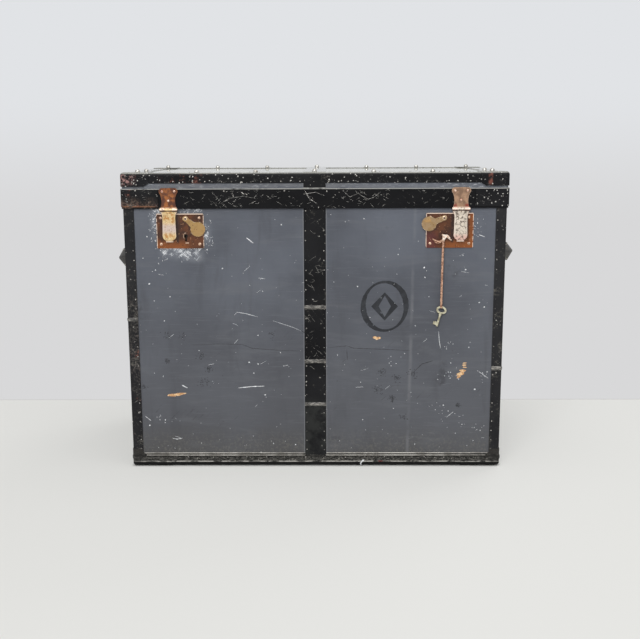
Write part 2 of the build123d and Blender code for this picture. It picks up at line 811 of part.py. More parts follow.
# Handles: a leather grip, ridged down its outside, whose round ends turn in pressed caps
def cap_middle():
    """The middle of a handle cap, measured along Y."""
    return handle_half_span + cap_length / 2 + knob_gap


def handle_section(y):
    """The grip's section: a blunt ridge outwards, bevelled edges above and below, and a shallow belly."""
    share = (1 + cos(pi * y / handle_half_span)) / 2
    slope = -handle_bow * pi / (2 * handle_half_span) * sin(pi * y / handle_half_span)
    width = share**handle_fullness
    spans = (handle_depth / 2, handle_ridge, handle_belly)
    depth, ridge, belly = (handle_end_radius + (span - handle_end_radius) * width for span in spans)
    edge = handle_edge / 2
    points = [(ridge, 0), (edge, depth), (-edge, depth), (-belly, 0), (-edge, -depth), (edge, -depth)]
    outline = make_face(Polyline(*points, close=True))
    outline = chamfer(outline.vertices(), handle_bevel)
    return Plane(origin=(handle_bow * share, y, 0), x_dir=(1, -slope, 0), z_dir=(slope, 1, 0)) * outline


def make_handles():
    step = 2 * handle_half_span / (handle_sections - 1)
    stations = [-handle_half_span + step * n for n in range(handle_sections)]
    grip = loft([handle_section(y) for y in stations])
    end_length = cap_length + 2 * knob_gap
    for hand in (-1, 1):
        middle = hand * (handle_half_span + end_length / 2)
        grip += Pos(0, middle, 0) * Rot(90, 0, 0) * Cylinder(handle_end_radius, end_length)
        knob = hand * (handle_half_span + end_length + knob_length / 2)
        grip += Pos(0, knob, 0) * Rot(90, 0, 0) * Cylinder(knob_radius, knob_length)
    pivot = side_face + handle_standoff
    right = Pos(pivot, 0, handle_height) * Rot(0, right_handle_droop, 0) * grip
    left = Pos(pivot, 0, handle_height) * Rot(0, left_handle_droop, 0) * grip
    save("handle_right", right)
    save("handle_left", mirrored(left))


def make_handle_caps():
    pivot = side_face + handle_standoff
    bore = handle_end_radius + handle_clearance
    tunnel = bore + cap_thickness
    y = (-cap_length / 2, cap_length / 2)
    z = (handle_height - cap_height / 2, handle_height + cap_height / 2)
    plate = block((side_face, side_face + cap_thickness), y, z)
    plate = fillet(plate.edges().filter_by(Axis.X), cap_edge_radius)
    around = Pos(pivot, 0, handle_height) * Rot(90, 0, 0)
    cap = plate + around * Cylinder(tunnel, cap_length)
    cap += block((side_face, pivot), y, (handle_height - tunnel, handle_height + tunnel))
    cap -= around * Cylinder(bore, cap_length)
    pair = [Pos(0, hand * cap_middle(), 0) * cap for hand in (-1, 1)]
    save("handle_caps_right", *pair)
    save("handle_caps_left", *[mirrored(piece) for piece in pair])


# Hinges at the back: a leaf on the body, a leaf on the lid and a pin
def make_hinges():
    axis_y = lid_face + hinge_axis_standoff - valance_thickness
    axis_z = split_height + hinge_axis_rise
    half = hinge_width / 2
    outer_length = (hinge_width - hinge_middle_width) / 2 - knuckle_gap
    outer_x = (hinge_width - outer_length) / 2
    face = body_face
    leaf_top = axis_z - hinge_joggle
    body_leaf = block((-half, half), (face, face + hinge_thickness), (leaf_top - hinge_leaf_length, leaf_top))
    profile = [(face, leaf_top), (face + hinge_thickness, leaf_top), (axis_y, axis_z - hinge_knuckle_radius)]
    inside = axis_y - hinge_knuckle_radius + hinge_thickness / 2
    profile += [(axis_y, axis_z), (inside, axis_z - hinge_axis_rise)]
    side = Plane(origin=(0, 0, 0), x_dir=(0, 1, 0), z_dir=(1, 0, 0))
    arm = extrude(side * make_face(Polyline(*profile, close=True)), outer_length / 2, both=True)
    for x in (-outer_x, outer_x):
        body_leaf += Pos(x, 0, 0) * arm
        body_leaf += rod(x, axis_y, axis_z, hinge_knuckle_radius, outer_length)
    body_leaf -= rod(0, axis_y, axis_z, hinge_pin_radius, hinge_width)
    lid_foot = split_height + back_valance_lift
    lid_leaf = block((-half, half), (valance_face, valance_face + hinge_thickness), (lid_foot, valance_top))
    profile = [(valance_face, lid_foot), (valance_face + hinge_thickness, lid_foot)]
    profile += [(axis_y, axis_z + hinge_knuckle_radius), (axis_y, axis_z)]
    profile += [(valance_face + hinge_thickness, axis_z + hinge_thickness)]
    lid_leaf += extrude(side * make_face(Polyline(*profile, close=True)), hinge_middle_width / 2, both=True)
    lid_leaf += rod(0, axis_y, axis_z, hinge_knuckle_radius, hinge_middle_width)
    lid_leaf -= rod(0, axis_y, axis_z, hinge_pin_radius + running_clearance, hinge_middle_width)
    pin = rod(hinge_offset, axis_y, axis_z, hinge_pin_radius, hinge_width)
    save("hinge_body_leaf_right", Pos(hinge_offset, 0, 0) * body_leaf)
    save("hinge_body_leaf_left", Pos(-hinge_offset, 0, 0) * body_leaf)
    save("hinge_lid_leaf_right", Pos(hinge_offset, 0, 0) * lid_leaf)
    save("hinge_lid_leaf_left", Pos(-hinge_offset, 0, 0) * lid_leaf)
    save("hinge_pins", pin, mirrored(pin))


# The key hangs on a cord that comes out of the right keyhole
def make_key_and_cord():
    face = -body_face
    hang = face - cord_hang
    exit_point = (keyhole_offset, hang + cord_exit_run, keyhole_centre)
    bend = (keyhole_offset, hang, keyhole_centre)
    end = (keyhole_offset, hang, keyhole_centre - cord_length)
    radius = cord_bend_share * cord_exit_run
    print("cord bend radius", radius)
    route = FilletPolyline(exit_point, bend, end, radius=[radius])
    start = Plane(origin=exit_point, z_dir=(0, -1, 0))
    save("key_cord", sweep(start * Circle(cord_radius), path=route))
    bow = Ellipse(key_bow_width / 2, key_bow_height / 2)
    bow -= Ellipse(key_bow_width / 2 - key_bow_wall, key_bow_height / 2 - key_bow_wall)
    middle = face - max(key_shaft_radius, key_collar_radius) - face_clearance
    key = on_front(bow, key_thickness / 2, key_thickness)
    neck = -key_bow_height / 2 + key_bow_wall / 2
    key += Pos(0, 0, neck - key_shaft_length / 2) * Cylinder(key_shaft_radius, key_shaft_length)
    key += Pos(0, 0, neck - key_bow_wall) * Cylinder(key_collar_radius, key_collar_length)
    foot = neck - key_shaft_length + key_collar_length
    half = key_bit_thickness / 2
    key += block((-key_shaft_radius - key_bit_width, 0), (-half, half), (foot, foot + key_bit_height))
    top = keyhole_centre - cord_length + key_overlap
    place = Pos(keyhole_offset, middle, top) * Rot(0, key_lean, 0) * Pos(0, 0, -key_bow_height / 2)
    save("key", place * key)


os.makedirs("parts", exist_ok=True)
make_body_boards()
make_body_skins()
make_body_bindings()
make_bottom_caps()
make_skids()
make_lid_boards()
make_lid_bindings()
make_lid_corners()
make_valance_corners()
make_studs()
make_lock_plates()
make_lock_cases()
make_lock_bolts()
make_keyhole_covers()
make_cover_pivots()
make_hasp_plates()
make_hasp_pins()
make_hasps()
make_rivets()
make_handles()
make_handle_caps()
make_hinges()
make_key_and_cord()
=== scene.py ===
import math
import random

import bmesh
import bpy
from mathutils import Matrix, Vector


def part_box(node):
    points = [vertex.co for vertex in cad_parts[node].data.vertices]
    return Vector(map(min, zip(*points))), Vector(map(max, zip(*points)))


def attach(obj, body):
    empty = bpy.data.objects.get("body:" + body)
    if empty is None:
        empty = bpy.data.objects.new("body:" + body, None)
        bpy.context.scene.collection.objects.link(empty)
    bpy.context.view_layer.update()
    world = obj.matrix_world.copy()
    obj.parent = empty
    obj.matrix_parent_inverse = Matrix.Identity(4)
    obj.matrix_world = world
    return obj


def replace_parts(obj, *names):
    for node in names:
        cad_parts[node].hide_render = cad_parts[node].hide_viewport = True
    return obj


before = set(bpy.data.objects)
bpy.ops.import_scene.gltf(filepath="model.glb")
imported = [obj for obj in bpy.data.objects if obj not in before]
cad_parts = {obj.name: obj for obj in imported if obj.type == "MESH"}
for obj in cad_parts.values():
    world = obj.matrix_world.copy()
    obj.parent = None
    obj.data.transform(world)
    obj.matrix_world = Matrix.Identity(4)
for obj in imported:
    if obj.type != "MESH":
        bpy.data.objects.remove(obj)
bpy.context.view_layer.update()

# ---- Boards ----
# The trunk is a box of thin softwood boards with a lid cut from the same boards. They show only
# along the rim and under the edge of the lid, sawn and never painted.


class Wire:
    """A shader socket that plain arithmetic works on: each operator adds one Math node."""

    def __init__(self, tree, socket=None):
        self.tree = tree
        self.socket = socket

    def node(self, kind, settings=None, sockets=None, output=0):
        """Adds a node: first its settings, then the values or links of its sockets."""
        made = self.tree.nodes.new("ShaderNode" + kind)
        for name, value in (settings or {}).items():
            setattr(made, name, value)
        for name, value in (sockets or {}).items():
            if isinstance(value, Wire):
                self.tree.links.new(value.socket, made.inputs[name])
            else:
                made.inputs[name].default_value = value
        return Wire(self.tree, made.outputs[output] if made.outputs else None)

    def math(self, operation, *values):
        return self.node("Math", {"operation": operation}, dict(enumerate(values)))

    def vector(self, operation, *values, output=0):
        return self.node("VectorMath", {"operation": operation}, dict(enumerate(values)), output)

    def __add__(self, other):
        return self.math("ADD", self, other)

    def __sub__(self, other):
        return self.math("SUBTRACT", self, other)

    def __rsub__(self, other):
        return self.math("SUBTRACT", other, self)

    def __mul__(self, other):
        return self.math("MULTIPLY", self, other)

    def __abs__(self):
        return self.math("ABSOLUTE", self)

    __radd__ = __add__
    __rmul__ = __mul__


def tint(red, green, blue):
    """A colour as a painter's chart gives it, from 0 to 255, in linear light."""
    shares = (level / 255 for level in (red, green, blue))
    return [n / 12.92 if n < 0.04 else ((n + 0.055) / 1.055) ** 2.4 for n in shares] + [1]


def over(under, top, share):
    """One colour over another, by a share of 0 to 1."""
    return share.node("Mix", {"data_type": "RGBA"}, {0: share, 6: under, 7: top}, output=2)


def step(value, low, high):
    """0 before low, 1 after high, and a soft step between; high may be the lower one."""
    settings = {"interpolation_type": "SMOOTHSTEP"}
    return value.node("MapRange", settings, {"Value": value, "From Min": low, "From Max": high})


def part_of(at, axis):
    return at.node("SeparateXYZ", sockets={"Vector": at}, output=axis)


def noise(at, scale, detail, roughness, distortion=0):
    sockets = {"Scale": scale, "Detail": detail, "Roughness": roughness, "Distortion": distortion}
    return at.node("TexNoise", sockets={"Vector": at, **sockets})


class Finish:
    """A material in the making: a base colour, and the coats laid over it one by one."""

    def __init__(self, name, *base):
        self.material = bpy.data.materials.new(name)
        self.material.use_nodes = True
        self.material.node_tree.nodes.clear()
        self.at = Wire(self.material.node_tree).node("TexCoord", output="Object")
        self.colour = tint(*base) if base else None

    def place(self):
        """The trunk's own coordinates in metres."""
        return [part_of(self.at, axis) for axis in "XYZ"]

    def cloud(self, scale, detail=4, roughness=0.55, stretch=None, distortion=0):
        """Soft mottling between 0 and 1, with so many blotches to a metre."""
        at = self.at.vector("MULTIPLY", self.at, stretch) if stretch else self.at
        return noise(at, scale, detail, roughness, distortion)

    def patch(self, low, high, *mottling):
        """The same mottling as patches with soft edges: 0 up to low, and 1 from high."""
        return step(self.cloud(*mottling), low, high)

    def coat(self, red, green, blue, share):
        self.colour = over(self.colour, tint(red, green, blue), share)

    def close(self, roughness, relief=None, depth=0.001, **constants):
        """Joins colour, roughness and relief into the material's one shader."""
        sockets = {"Base Color": self.colour, "Roughness": roughness}
        sockets.update({name.replace("_", " "): value for name, value in constants.items()})
        if relief is not None:
            sockets["Normal"] = self.at.node("Bump", sockets={"Height": relief, "Distance": depth})
        shader = self.at.node("BsdfPrincipled", sockets=sockets)
        self.at.node("OutputMaterial", sockets={"Surface": shader})
        return self.material


def dress(material, *names):
    """Gives a finish to the pieces of the frame that have these names."""
    for name in names:
        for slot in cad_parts[name].material_slots:
            slot.material = material


def softwood():
    paint = Finish("sawn_softwood", 150, 112, 76)
    grain = paint.cloud(3, 6, 0.6, (8, 60, 60), 1.5)
    paint.coat(96, 66, 42, step(grain, 0.35, 0.7))
    paint.coat(70, 54, 40, paint.patch(0.5, 0.8, 7) * 0.6)
    return paint.close(0.8, grain, 0.0006)


BODY_BOARDS = ("bottom_board", "front_board", "back_board", "left_board", "right_board")
LID_BOARDS = ("lid_top_board", "lid_front_board", "lid_back_board", "lid_left_board", "lid_right_board")
dress(softwood(), *BODY_BOARDS, *LID_BOARDS)

# ---- Paper lining ----
# Body and lid are papered inside with a buff sheet printed with narrow stripes, glued to the boards.
# It has yellowed, and it is stained in patches.

STRIPE_PITCH = 0.024


def lining_paper():
    """The stripes run upright on the walls, and from front to back on the floor and under the lid."""
    paint = Finish("striped_paper", 196, 176, 138)
    x, y, z = paint.place()
    floor_z, roof_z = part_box("body_lining")[0].z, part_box("lid_lining")[1].z
    level = step(z, floor_z + 0.0016, floor_z + 0.0012) + step(z, roof_z - 0.0016, roof_z - 0.0012)
    around = (x + y * (1 - level)) * (math.tau / STRIPE_PITCH)
    paint.coat(150, 142, 120, step(around.math("SINE", around), 0.55, 0.75) * 0.55)
    paint.coat(134, 104, 66, paint.patch(0.5, 0.78, 5, 5) * 0.7)
    return paint.close(0.85, paint.cloud(120), 0.0002)


dress(lining_paper(), "body_lining", "lid_lining")

# ---- Painted canvas ----
# Cotton duck is glued over the boards and painted blue-grey. The paint is browner near the floor, streaked
# where it was wiped, and speckled white where it has flaked. Its top is painted lighter as a painted
# reflection.

STRAP_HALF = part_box("front_strap")[1].x
# The angle by which the threads' waves turn in a metre, in radians.
WEAVE_TURN = 5200


def between(value, low, high, soft):
    """1 from low to high, with soft ends."""
    return step(value, low - soft, low + soft) * step(value, high + soft, high - soft)


def hatching(paint, lean, along, across):
    """Fine strokes that lean one way on the front and back, between 0 and 1."""
    turned = paint.at.node("VectorRotate", {"rotation_type": "Y_AXIS"}, {"Vector": paint.at, "Angle": lean})
    return noise(turned.vector("MULTIPLY", turned, (along, across, across)), 1, 4, 0.65)


def spots(paint, scale, radius, share, ragged=0.4):
    """Scattered spots: so many cells to a metre, of which a share holds one spot each."""
    at = paint.at
    drift = at.node("TexNoise", sockets={"Vector": at, "Scale": scale * 4, "Detail": 2}, output=1)
    moved = at.vector("MULTIPLY_ADD", drift, [ragged / scale / 2] * 3, at)
    sockets = {"Vector": moved, "Scale": scale}
    gap = at.node("TexVoronoi", sockets=sockets)
    lot = part_of(at.node("TexVoronoi", sockets=sockets, output=1), "X")
    reach = radius * scale
    return step(gap, reach, reach * 0.6) * step(lot, 1 - share, 1.02 - share)


def painted_canvas():
    paint = Finish("painted_canvas", 78, 81, 89)
    x, y, z = paint.place()
    front = step(y, -0.207, -0.2085)
    top = step(z, 0.642, 0.6436)
    paint.coat(95, 99, 108, paint.patch(0.32, 0.68, 4.5, 5))
    paint.coat(84, 84, 87, step(z, 0.50, 0.06) * 0.6)
    paint.coat(104, 106, 111, paint.patch(0.5, 0.72, 2.5, 5, 0.6, (3, 3, 14), 0.6) * 0.35)
    paint.coat(70, 71, 76, paint.patch(0.54, 0.74, 2, 4, 0.6, (14, 14, 2.2), 0.5) * 0.35)
    paint.coat(112, 114, 120, paint.patch(0.52, 0.8, 6, 4, 0.6, (3, 3, 60)) * 0.3)
    paint.coat(78, 76, 72, step(z + paint.cloud(9) * 0.08, 0.16, 0.03) * 0.6)
    grime = step(z, 0.10, 0.045) * paint.patch(0.5, 0.62, 190, 4, 0.7)
    paint.coat(120, 117, 110, grime * 0.28)
    streak = step(abs(x - 0.2095 + (z - 0.32) * -0.018 + paint.cloud(20) * 0.004), 0.0055, 0.0005)
    paint.coat(120, 121, 125, streak * front * paint.patch(0.38, 0.6, 12) * 0.5)
    paint.coat(54, 54, 58, paint.patch(0.64, 0.75, 13, 6, 0.7) * 0.5)
    rub = paint.patch(0.62, 0.7, 3, 5, 0.75, (9, 9, 50))
    paint.coat(128, 129, 132, rub * paint.patch(0.5, 0.62, 3) * 0.35)
    scribble = step(hatching(paint, 0.75, 30, 300), 0.63, 0.68) * paint.patch(0.52, 0.62, 14, 3)
    paint.coat(58, 59, 63, scribble * step(z, 0.45, 0.2) * 0.55)
    edge = step(abs(abs(x) - STRAP_HALF - 0.0012), 0.0014, 0.0004) * front
    paint.coat(134, 136, 140, edge * 0.55)
    beside = between(x, -0.3465, -0.330, 0.006) * between(z, 0.512, 0.570, 0.016)
    beyond = between(x, -0.238, -0.2235, 0.009) * between(z, 0.500, 0.538, 0.014)
    above = between(x, -0.338, -0.238, 0.010) * between(z, 0.5600, 0.575, 0.003)
    foot_line = z + (x + 0.335) * 0.16
    below = between(x, -0.330, -0.240, 0.010) * step(foot_line, 0.462, 0.482) * step(z, 0.492, 0.486)
    worn_off = (beside + beyond + above * 0.9 + below) * front * paint.patch(0.28, 0.62, 55, 5, 0.7)
    rising, falling = (hatching(paint, lean, 60, 520) + worn_off * 0.26 for lean in (0.8, -0.7))
    strokes = step(rising, 0.745, 0.81) + step(falling, 0.765, 0.83)
    paint.coat(152, 156, 163, worn_off * 0.45)
    torn = between(z, 0.4846, 0.4864, 0.0004) * between(x, -0.338, -0.242, 0.004)
    paint.coat(228, 229, 230, torn * paint.patch(0.46, 0.56, 260, 3) * front * 0.85)
    paint.coat(222, 224, 227, step(strokes, 0, 1) * step(worn_off, 0.1, 0.5) * 0.85)
    paint.coat(188, 189, 190, spots(paint, 26, 0.0019, 0.3) * 0.9)
    paint.coat(160, 161, 163, spots(paint, 80, 0.0012, 0.2) * 0.75)
    paint.coat(56, 57, 60, spots(paint, 60, 0.0013, 0.12) * 0.6)
    # The top face is painted lighter: a painted reflection of the bright room above it.
    paint.coat(178, 178, 168, top * 0.6 + top * paint.patch(0.2, 0.7, 6) * 0.3)
    strip = between(z, 0.6125, 0.6225, 0.001)
    paint.coat(118, 119, 122, strip * paint.patch(0.3, 0.6, 3, 4, 0.55, (12, 12, 60)) * 0.5)
    dashes = paint.patch(0.55, 0.61, 1, 5, 0.75, (70, 70, 420)) * paint.patch(0.36, 0.5, 16)
    paint.coat(212, 213, 214, strip * dashes * (step(x, 0.22, 0.30) * 0.65 + 0.25))
    # Painted shade in the groove between the two beads of the bottom strip's fold.
    paint.coat(16, 16, 16, between(z, 0.0266, 0.0298, 0.0002))
    paint.coat(106, 111, 122, step(x, 0, 0.25) * step(z, 0.40, 0.56) * step(top, 1, 0) * 0.45)
    weave = [part.math("SINE", part * WEAVE_TURN) for part in (x, y, z)]
    relief = (weave[0] + weave[1] + weave[2]) * 0.5 + paint.cloud(160)
    roughness = 0.5 + paint.cloud(30) * 0.16
    return paint.close(roughness, relief, 0.00012, Coat_Weight=top * 0.7, Specular_IOR_Level=0.3)


dress(painted_canvas(), "body_canvas", "lid_canvas")

# ---- Fibre bindings, straps and valance ----
# Black vulcanised fibre, wetted, bent and nailed over every edge, up the middle and round the foot
# of the lid. It is scratched and rubbed, and brown where the black has worn through.

BAND_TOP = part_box("valance")[1].z


def black_fibre(name, worn, brown, grey, faded=0):
    """How many specks it has, how much black is worn through, how rubbed it is, and how faded."""
    pale = 26 * faded
    paint = Finish(name, 13 + pale, 13 + pale, 15 + pale)
    x, y, z = paint.place()
    paint.coat(28 + pale, 28 + pale, 30 + pale, paint.patch(0.3, 0.75, 9, 5))
    rubbed = paint.patch(0.66 - 0.2 * grey, 0.78 - 0.14 * grey, 24, 5, 0.7)
    paint.coat(112, 109, 102, rubbed * paint.patch(0.48, 0.62, 230, 4, 0.75) * 0.75)
    bare = paint.patch(0.70 - 0.16 * brown, 0.77 - 0.16 * brown, 30, 6, 0.75)
    paint.coat(122, 80, 70, bare * paint.patch(0.42, 0.56, 230, 3) * step(x, -0.12, -0.22) * 0.75)
    for lean in (0.5, -0.9):
        line = step(hatching(paint, lean, 34, 460), 0.66, 0.70) * paint.patch(0.50, 0.58, 13, 3)
        paint.coat(150, 148, 142, line * 0.6)
    crowded = paint.patch(0.60 - 0.12 * worn, 0.68 - 0.1 * worn, 28, 3)
    paint.coat(206, 203, 196, spots(paint, 60, 0.0016, 0.2 + 0.3 * worn, 0.8) * 0.85)
    paint.coat(168, 165, 158, spots(paint, 170, 0.0011, 0.3, 0.8) * crowded * 0.8)
    if worn > 0.95:
        dashes = paint.patch(0.60, 0.66, 1, 5, 0.75, (90, 90, 420)) * paint.patch(0.46, 0.6, 20)
        paint.coat(196, 194, 188, dashes * 0.35)
        bright = spots(paint, 150, 0.0015, 0.9, 0.8) * paint.patch(0.43, 0.51, 35, 3)
        paint.coat(214, 212, 206, bright * 0.9)
    worn_low = step(z, 0.165, 0.135) * step(abs(x), 0.030, 0.024)
    paint.coat(48, 49, 48, worn_low * paint.patch(0.3, 0.6, 40, 5, 0.7) * 0.75)
    paint.coat(176, 175, 171, step(abs(z - BAND_TOP), 0.0021, 0.0009) * paint.patch(0.25, 0.45, 30) * 0.85)
    in_front = step(y, -0.10, -0.17)
    crumbs = paint.patch(0.47, 0.58, 210, 4, 0.7) * in_front
    dust = in_front * step(x, -0.365, -0.380) * between(z, 0.19, 0.37, 0.07) * paint.patch(0.34, 0.6, 22)
    paint.coat(150, 140, 134, dust * paint.patch(0.50, 0.64, 260, 4, 0.75) * 0.32)
    pink = step(abs(x + 0.397), 0.026, 0.004) * step(abs(z - 0.632), 0.016, 0.004)
    paint.coat(168, 130, 126, pink * paint.patch(0.38, 0.5, 60) * crumbs * 0.85)
    red = step(abs(x - 0.368), 0.006, 0.002) * step(abs(z - 0.632), 0.016, 0.008)
    paint.coat(122, 76, 66, red * paint.patch(0.35, 0.5, 70) * 0.9)
    foot = step(z, 0.600, 0.577) * step(z, 0.569, 0.5725) * step(x, -0.325, -0.352)
    paint.coat(126, 106, 94, foot * paint.patch(0.3, 0.6, 50) * (crumbs * 0.55 + 0.12))
    frayed = between(z, 0.5735, 0.5762, 0.0008) * step(x, -0.330, -0.342) * paint.patch(0.35, 0.5, 90)
    paint.coat(150, 104, 76, frayed * in_front * 0.55)
    # The top face is painted paler: a painted reflection of the bright room above it.
    top = step(z, 0.642, 0.6445)
    paint.coat(160, 159, 150, top * paint.patch(0.25, 0.7, 11) * 0.45 + top * 0.4)
    roughness = 0.42 + paint.cloud(25) * 0.2
    relief = paint.cloud(55, 5) + paint.cloud(300) * 0.3
    return paint.close(roughness, relief, 0.0006, Coat_Weight=top * 0.8, Specular_IOR_Level=0.12)


def scuffed_strip():
    """The strip and caps round the foot: rubbed grey, with a painted highlight line above a lower edge
    painted black as shade.
    """
    paint = Finish("scuffed_strip", 28, 28, 27)
    x, _, z = paint.place()
    lengthways = paint.cloud(1, 5, 0.8, (110, 110, 330))
    paint.coat(96, 94, 90, step(lengthways, 0.44, 0.62))
    paint.coat(176, 172, 163, paint.patch(0.60, 0.66, 260, 4, 0.75) * 0.8)
    paint.coat(30, 29, 28, between(z, 0.0222, 0.0262, 0.0008) * 0.7)
    corner = step(abs(x), 0.372, 0.392)
    paint.coat(36, 35, 34, corner * 0.55)
    # Painted shade on the strip in the groove under the upper bead of the fold.
    paint.coat(50, 48, 46, step(z, 0.0275, 0.030) * 0.8)
    paint.coat(132, 96, 80, spots(paint, 16, 0.006, 0.25, 0.9) * 0.6)
    # A painted highlight along the strip, where it turns under the trunk.
    line = between(z, 0.0108, 0.0128, 0.0006) * paint.patch(0.40, 0.54, 1, 4, 0.55, (60, 60, 200))
    paint.coat(198, 195, 188, line * (1 - corner * 0.7) * 0.85)
    pink = step(abs(x - 0.1434), 0.006, 0.004) * step(abs(z - 0.0122), 0.0014, 0.0008)
    paint.coat(150, 62, 60, pink * 0.45)
    # The lower edge is painted black as the shade under the trunk.
    paint.coat(15, 15, 15, step(z, 0.0108, 0.0098))
    return paint.close(0.55, lengthways, 0.0006, Specular_IOR_Level=0.15)


dress(black_fibre("black_fibre", 0.4, 0.1, 0.5), "front_strap", "back_strap", "lid_strap")
dress(black_fibre("worn_fibre", 1, 0.95, 0.35), "lid_edge_binding", "lid_corners", "valance_corners")
UPRIGHTS = [f"corner_binding_{face}_{side}" for face in ("front", "back") for side in ("left", "right")]
dress(black_fibre("upright_fibre", 0.9, 0.7, 0.9, 0.6), *UPRIGHTS)
dress(black_fibre("band_fibre", 0.7, 0.1, 0.15, -0.35), "valance")
dress(scuffed_strip(), "bottom_binding", "bottom_corner_caps")

# ---- Binding nails ----
# Small round-headed steel nails, one every 21 mm or so along both edges of the strips, and half as
# many round the foot. Their heads were blacked with the fibre, and most are rubbed bright again.

NAIL_PITCH = 0.0212
FOOT_NAIL_PITCH = 0.043
NAIL_RADIUS = 0.00135
NAIL_RISE = 0.0006
NAIL_DRIFT = 0.0007
MISSING_NAILS = 0.06
EDGE_IN = 0.004
TOP_ROW_IN = 0.038
STRAP_ROW_FOOT = 0.012
CORNER_ROW_FOOT = 0.014
ROW_TOP = 0.02
FOOT_ROW_DROP = 0.0055
FOOT_ROW_HALF = (0.37, 0.18)
LID_ROW_HALF = (0.338, 0.145)
TOP_ROW_HALF = (0.33, 0.13)
LID_STRAP_GAP = 0.03
HEAD_SIDES = 8
chance = random.Random(11)


def piece(name, mesh, material, body, smooth=True, closed=True):
    """Turns the mesh into a piece of the trunk that rides on one of its bodies."""
    data = bpy.data.meshes.new(name)
    if closed:
        bmesh.ops.recalc_face_normals(mesh, faces=mesh.faces)
    mesh.to_mesh(data)
    mesh.free()
    data.materials.append(material)
    for face in data.polygons:
        face.use_smooth = smooth
    made = bpy.data.objects.new(name, data)
    bpy.context.scene.collection.objects.link(made)
    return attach(made, body)


def circle(middle, side, up, radius, count):
    """Evenly spaced points round a circle that lies in the plane of side and up."""
    turns = [math.tau * n / count for n in range(count)]
    return [middle + radius * (side * math.cos(turn) + up * math.sin(turn)) for turn in turns]


def head(mesh, seat, out, radius, rise):
    """A round nail head on a seat, pointing out."""
    side = out.orthogonal().normalized()
    rings = []
    for reach, lift in ((1, 0), (0.75, 0.65)):
        points = circle(seat + out * rise * lift, side, out.cross(side), radius * reach, HEAD_SIDES)
        rings.append([mesh.verts.new(point) for point in points])
    crown = mesh.verts.new(seat + out * rise)
    for n in range(HEAD_SIDES):
        mesh.faces.new((rings[0][n], rings[0][n - 1], rings[1][n - 1], rings[1][n]))
        mesh.faces.new((rings[1][n], rings[1][n - 1], crown))
    mesh.faces.new(rings[0])


def nail_row(mesh, start, end, out, pitch=NAIL_PITCH):
    """Evenly spaced nails, each a little off its place, with a few missing."""
    start, end, out = Vector(start), Vector(end), Vector(out)
    count = max(1, round((end - start).length / pitch))
    seats = []
    for n in range(count + 1):
        off = Vector([chance.uniform(-NAIL_DRIFT, NAIL_DRIFT) for axis in "XYZ"])
        seats.append(start.lerp(end, n / count) + off)
    for seat in seats:
        seat -= out * (seat - start).dot(out)
        if chance.random() > MISSING_NAILS:
            head(mesh, seat, out, NAIL_RADIUS * chance.uniform(0.85, 1.1), NAIL_RISE)


def two_rows(mesh, x, y, z, halves, y_out, x_out, pitch=NAIL_PITCH):
    """One row along the front or back, at y, and one along a side, at x."""
    nail_row(mesh, (-halves[0], y, z), (halves[0], y, z), y_out, pitch)
    nail_row(mesh, (x, -halves[1], z), (x, halves[1], z), x_out, pitch)


def nail_steel():
    paint = Finish("nail_steel", 44, 43, 42)
    bright = paint.patch(0.42, 0.58, 60, 3)
    paint.coat(176, 172, 166, bright)
    return paint.close(0.45, Metallic=bright * 0.3, Specular_IOR_Level=0.4)


NAIL = nail_steel()
strap_low, strap_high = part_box("front_strap")
corner_low, corner_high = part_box("corner_binding_front_right")
strip_top = strap_low.z
rim = strap_high.z
side_x, front_y = corner_high.x, corner_low.y
body_nails = bmesh.new()
for facing in (-1, 1):
    y = -front_y * facing
    for x in (strap_low.x + EDGE_IN, strap_high.x - EDGE_IN):
        ends = [(x, y, z) for z in (strip_top + STRAP_ROW_FOOT, rim - ROW_TOP)]
        nail_row(body_nails, *ends, (0, facing, 0))
    for hand in (-1, 1):
        x = hand * (corner_low.x + EDGE_IN)
        inner_y = facing * (-corner_high.y - EDGE_IN)
        for x, y_in, out in ((x, y, (0, facing, 0)), (hand * side_x, inner_y, (hand, 0, 0))):
            ends = [(x, y_in, z) for z in (strip_top + CORNER_ROW_FOOT, rim - ROW_TOP)]
            nail_row(body_nails, *ends, out)
    outs = (0, facing, 0), (facing, 0, 0)
    z = strip_top - FOOT_ROW_DROP
    two_rows(body_nails, facing * side_x, y, z, FOOT_ROW_HALF, *outs, FOOT_NAIL_PITCH)
piece("binding_nails_body", body_nails, NAIL, "body")

lid_low, lid_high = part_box("lid_edge_binding")
band_low, band_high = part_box("valance")
lid_corner_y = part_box("lid_corners")[0].y
lid_nails = bmesh.new()
strip_foot = lid_low.z + 0.0032
for facing in (-1, 1):
    y, x = facing * lid_high.y, facing * lid_high.x
    long_half, short_half = LID_ROW_HALF
    for start, end in ((-long_half, -LID_STRAP_GAP), (LID_STRAP_GAP, long_half)):
        nail_row(lid_nails, (start, y, strip_foot), (end, y, strip_foot), (0, facing, 0))
    nail_row(lid_nails, (x, -short_half, strip_foot), (x, short_half, strip_foot), (facing, 0, 0))
    x, y = facing * (lid_high.x - TOP_ROW_IN), facing * (lid_high.y - TOP_ROW_IN)
    two_rows(lid_nails, x, y, lid_high.z, TOP_ROW_HALF, (0, 0, 1), (0, 0, 1))
FORWARD = Vector((0, -1, 0))
for x in (-0.372, -0.19, -0.0635, 0.0605, 0.1855):
    head(lid_nails, Vector((x, band_low.y, band_high.z - 0.005)), FORWARD, 0.0019, 0.0009)
for x, z in ((-0.374, 0.6205), (-0.396, 0.6395), (0.372, 0.6205), (0.389, 0.6395), (-0.358, 0.6395)):
    head(lid_nails, Vector((x, lid_corner_y, z)), FORWARD, 0.0018, 0.0009)
piece("binding_nails_lid", lid_nails, NAIL, "lid")

# ---- Raised seams on the straps, and the folded edge of the bottom strip ----
# Where one length of fibre ends and the next starts, the joint stands up as a low ridge that takes
# all the rubbing. The bottom strip has a thin folded bead along its top.

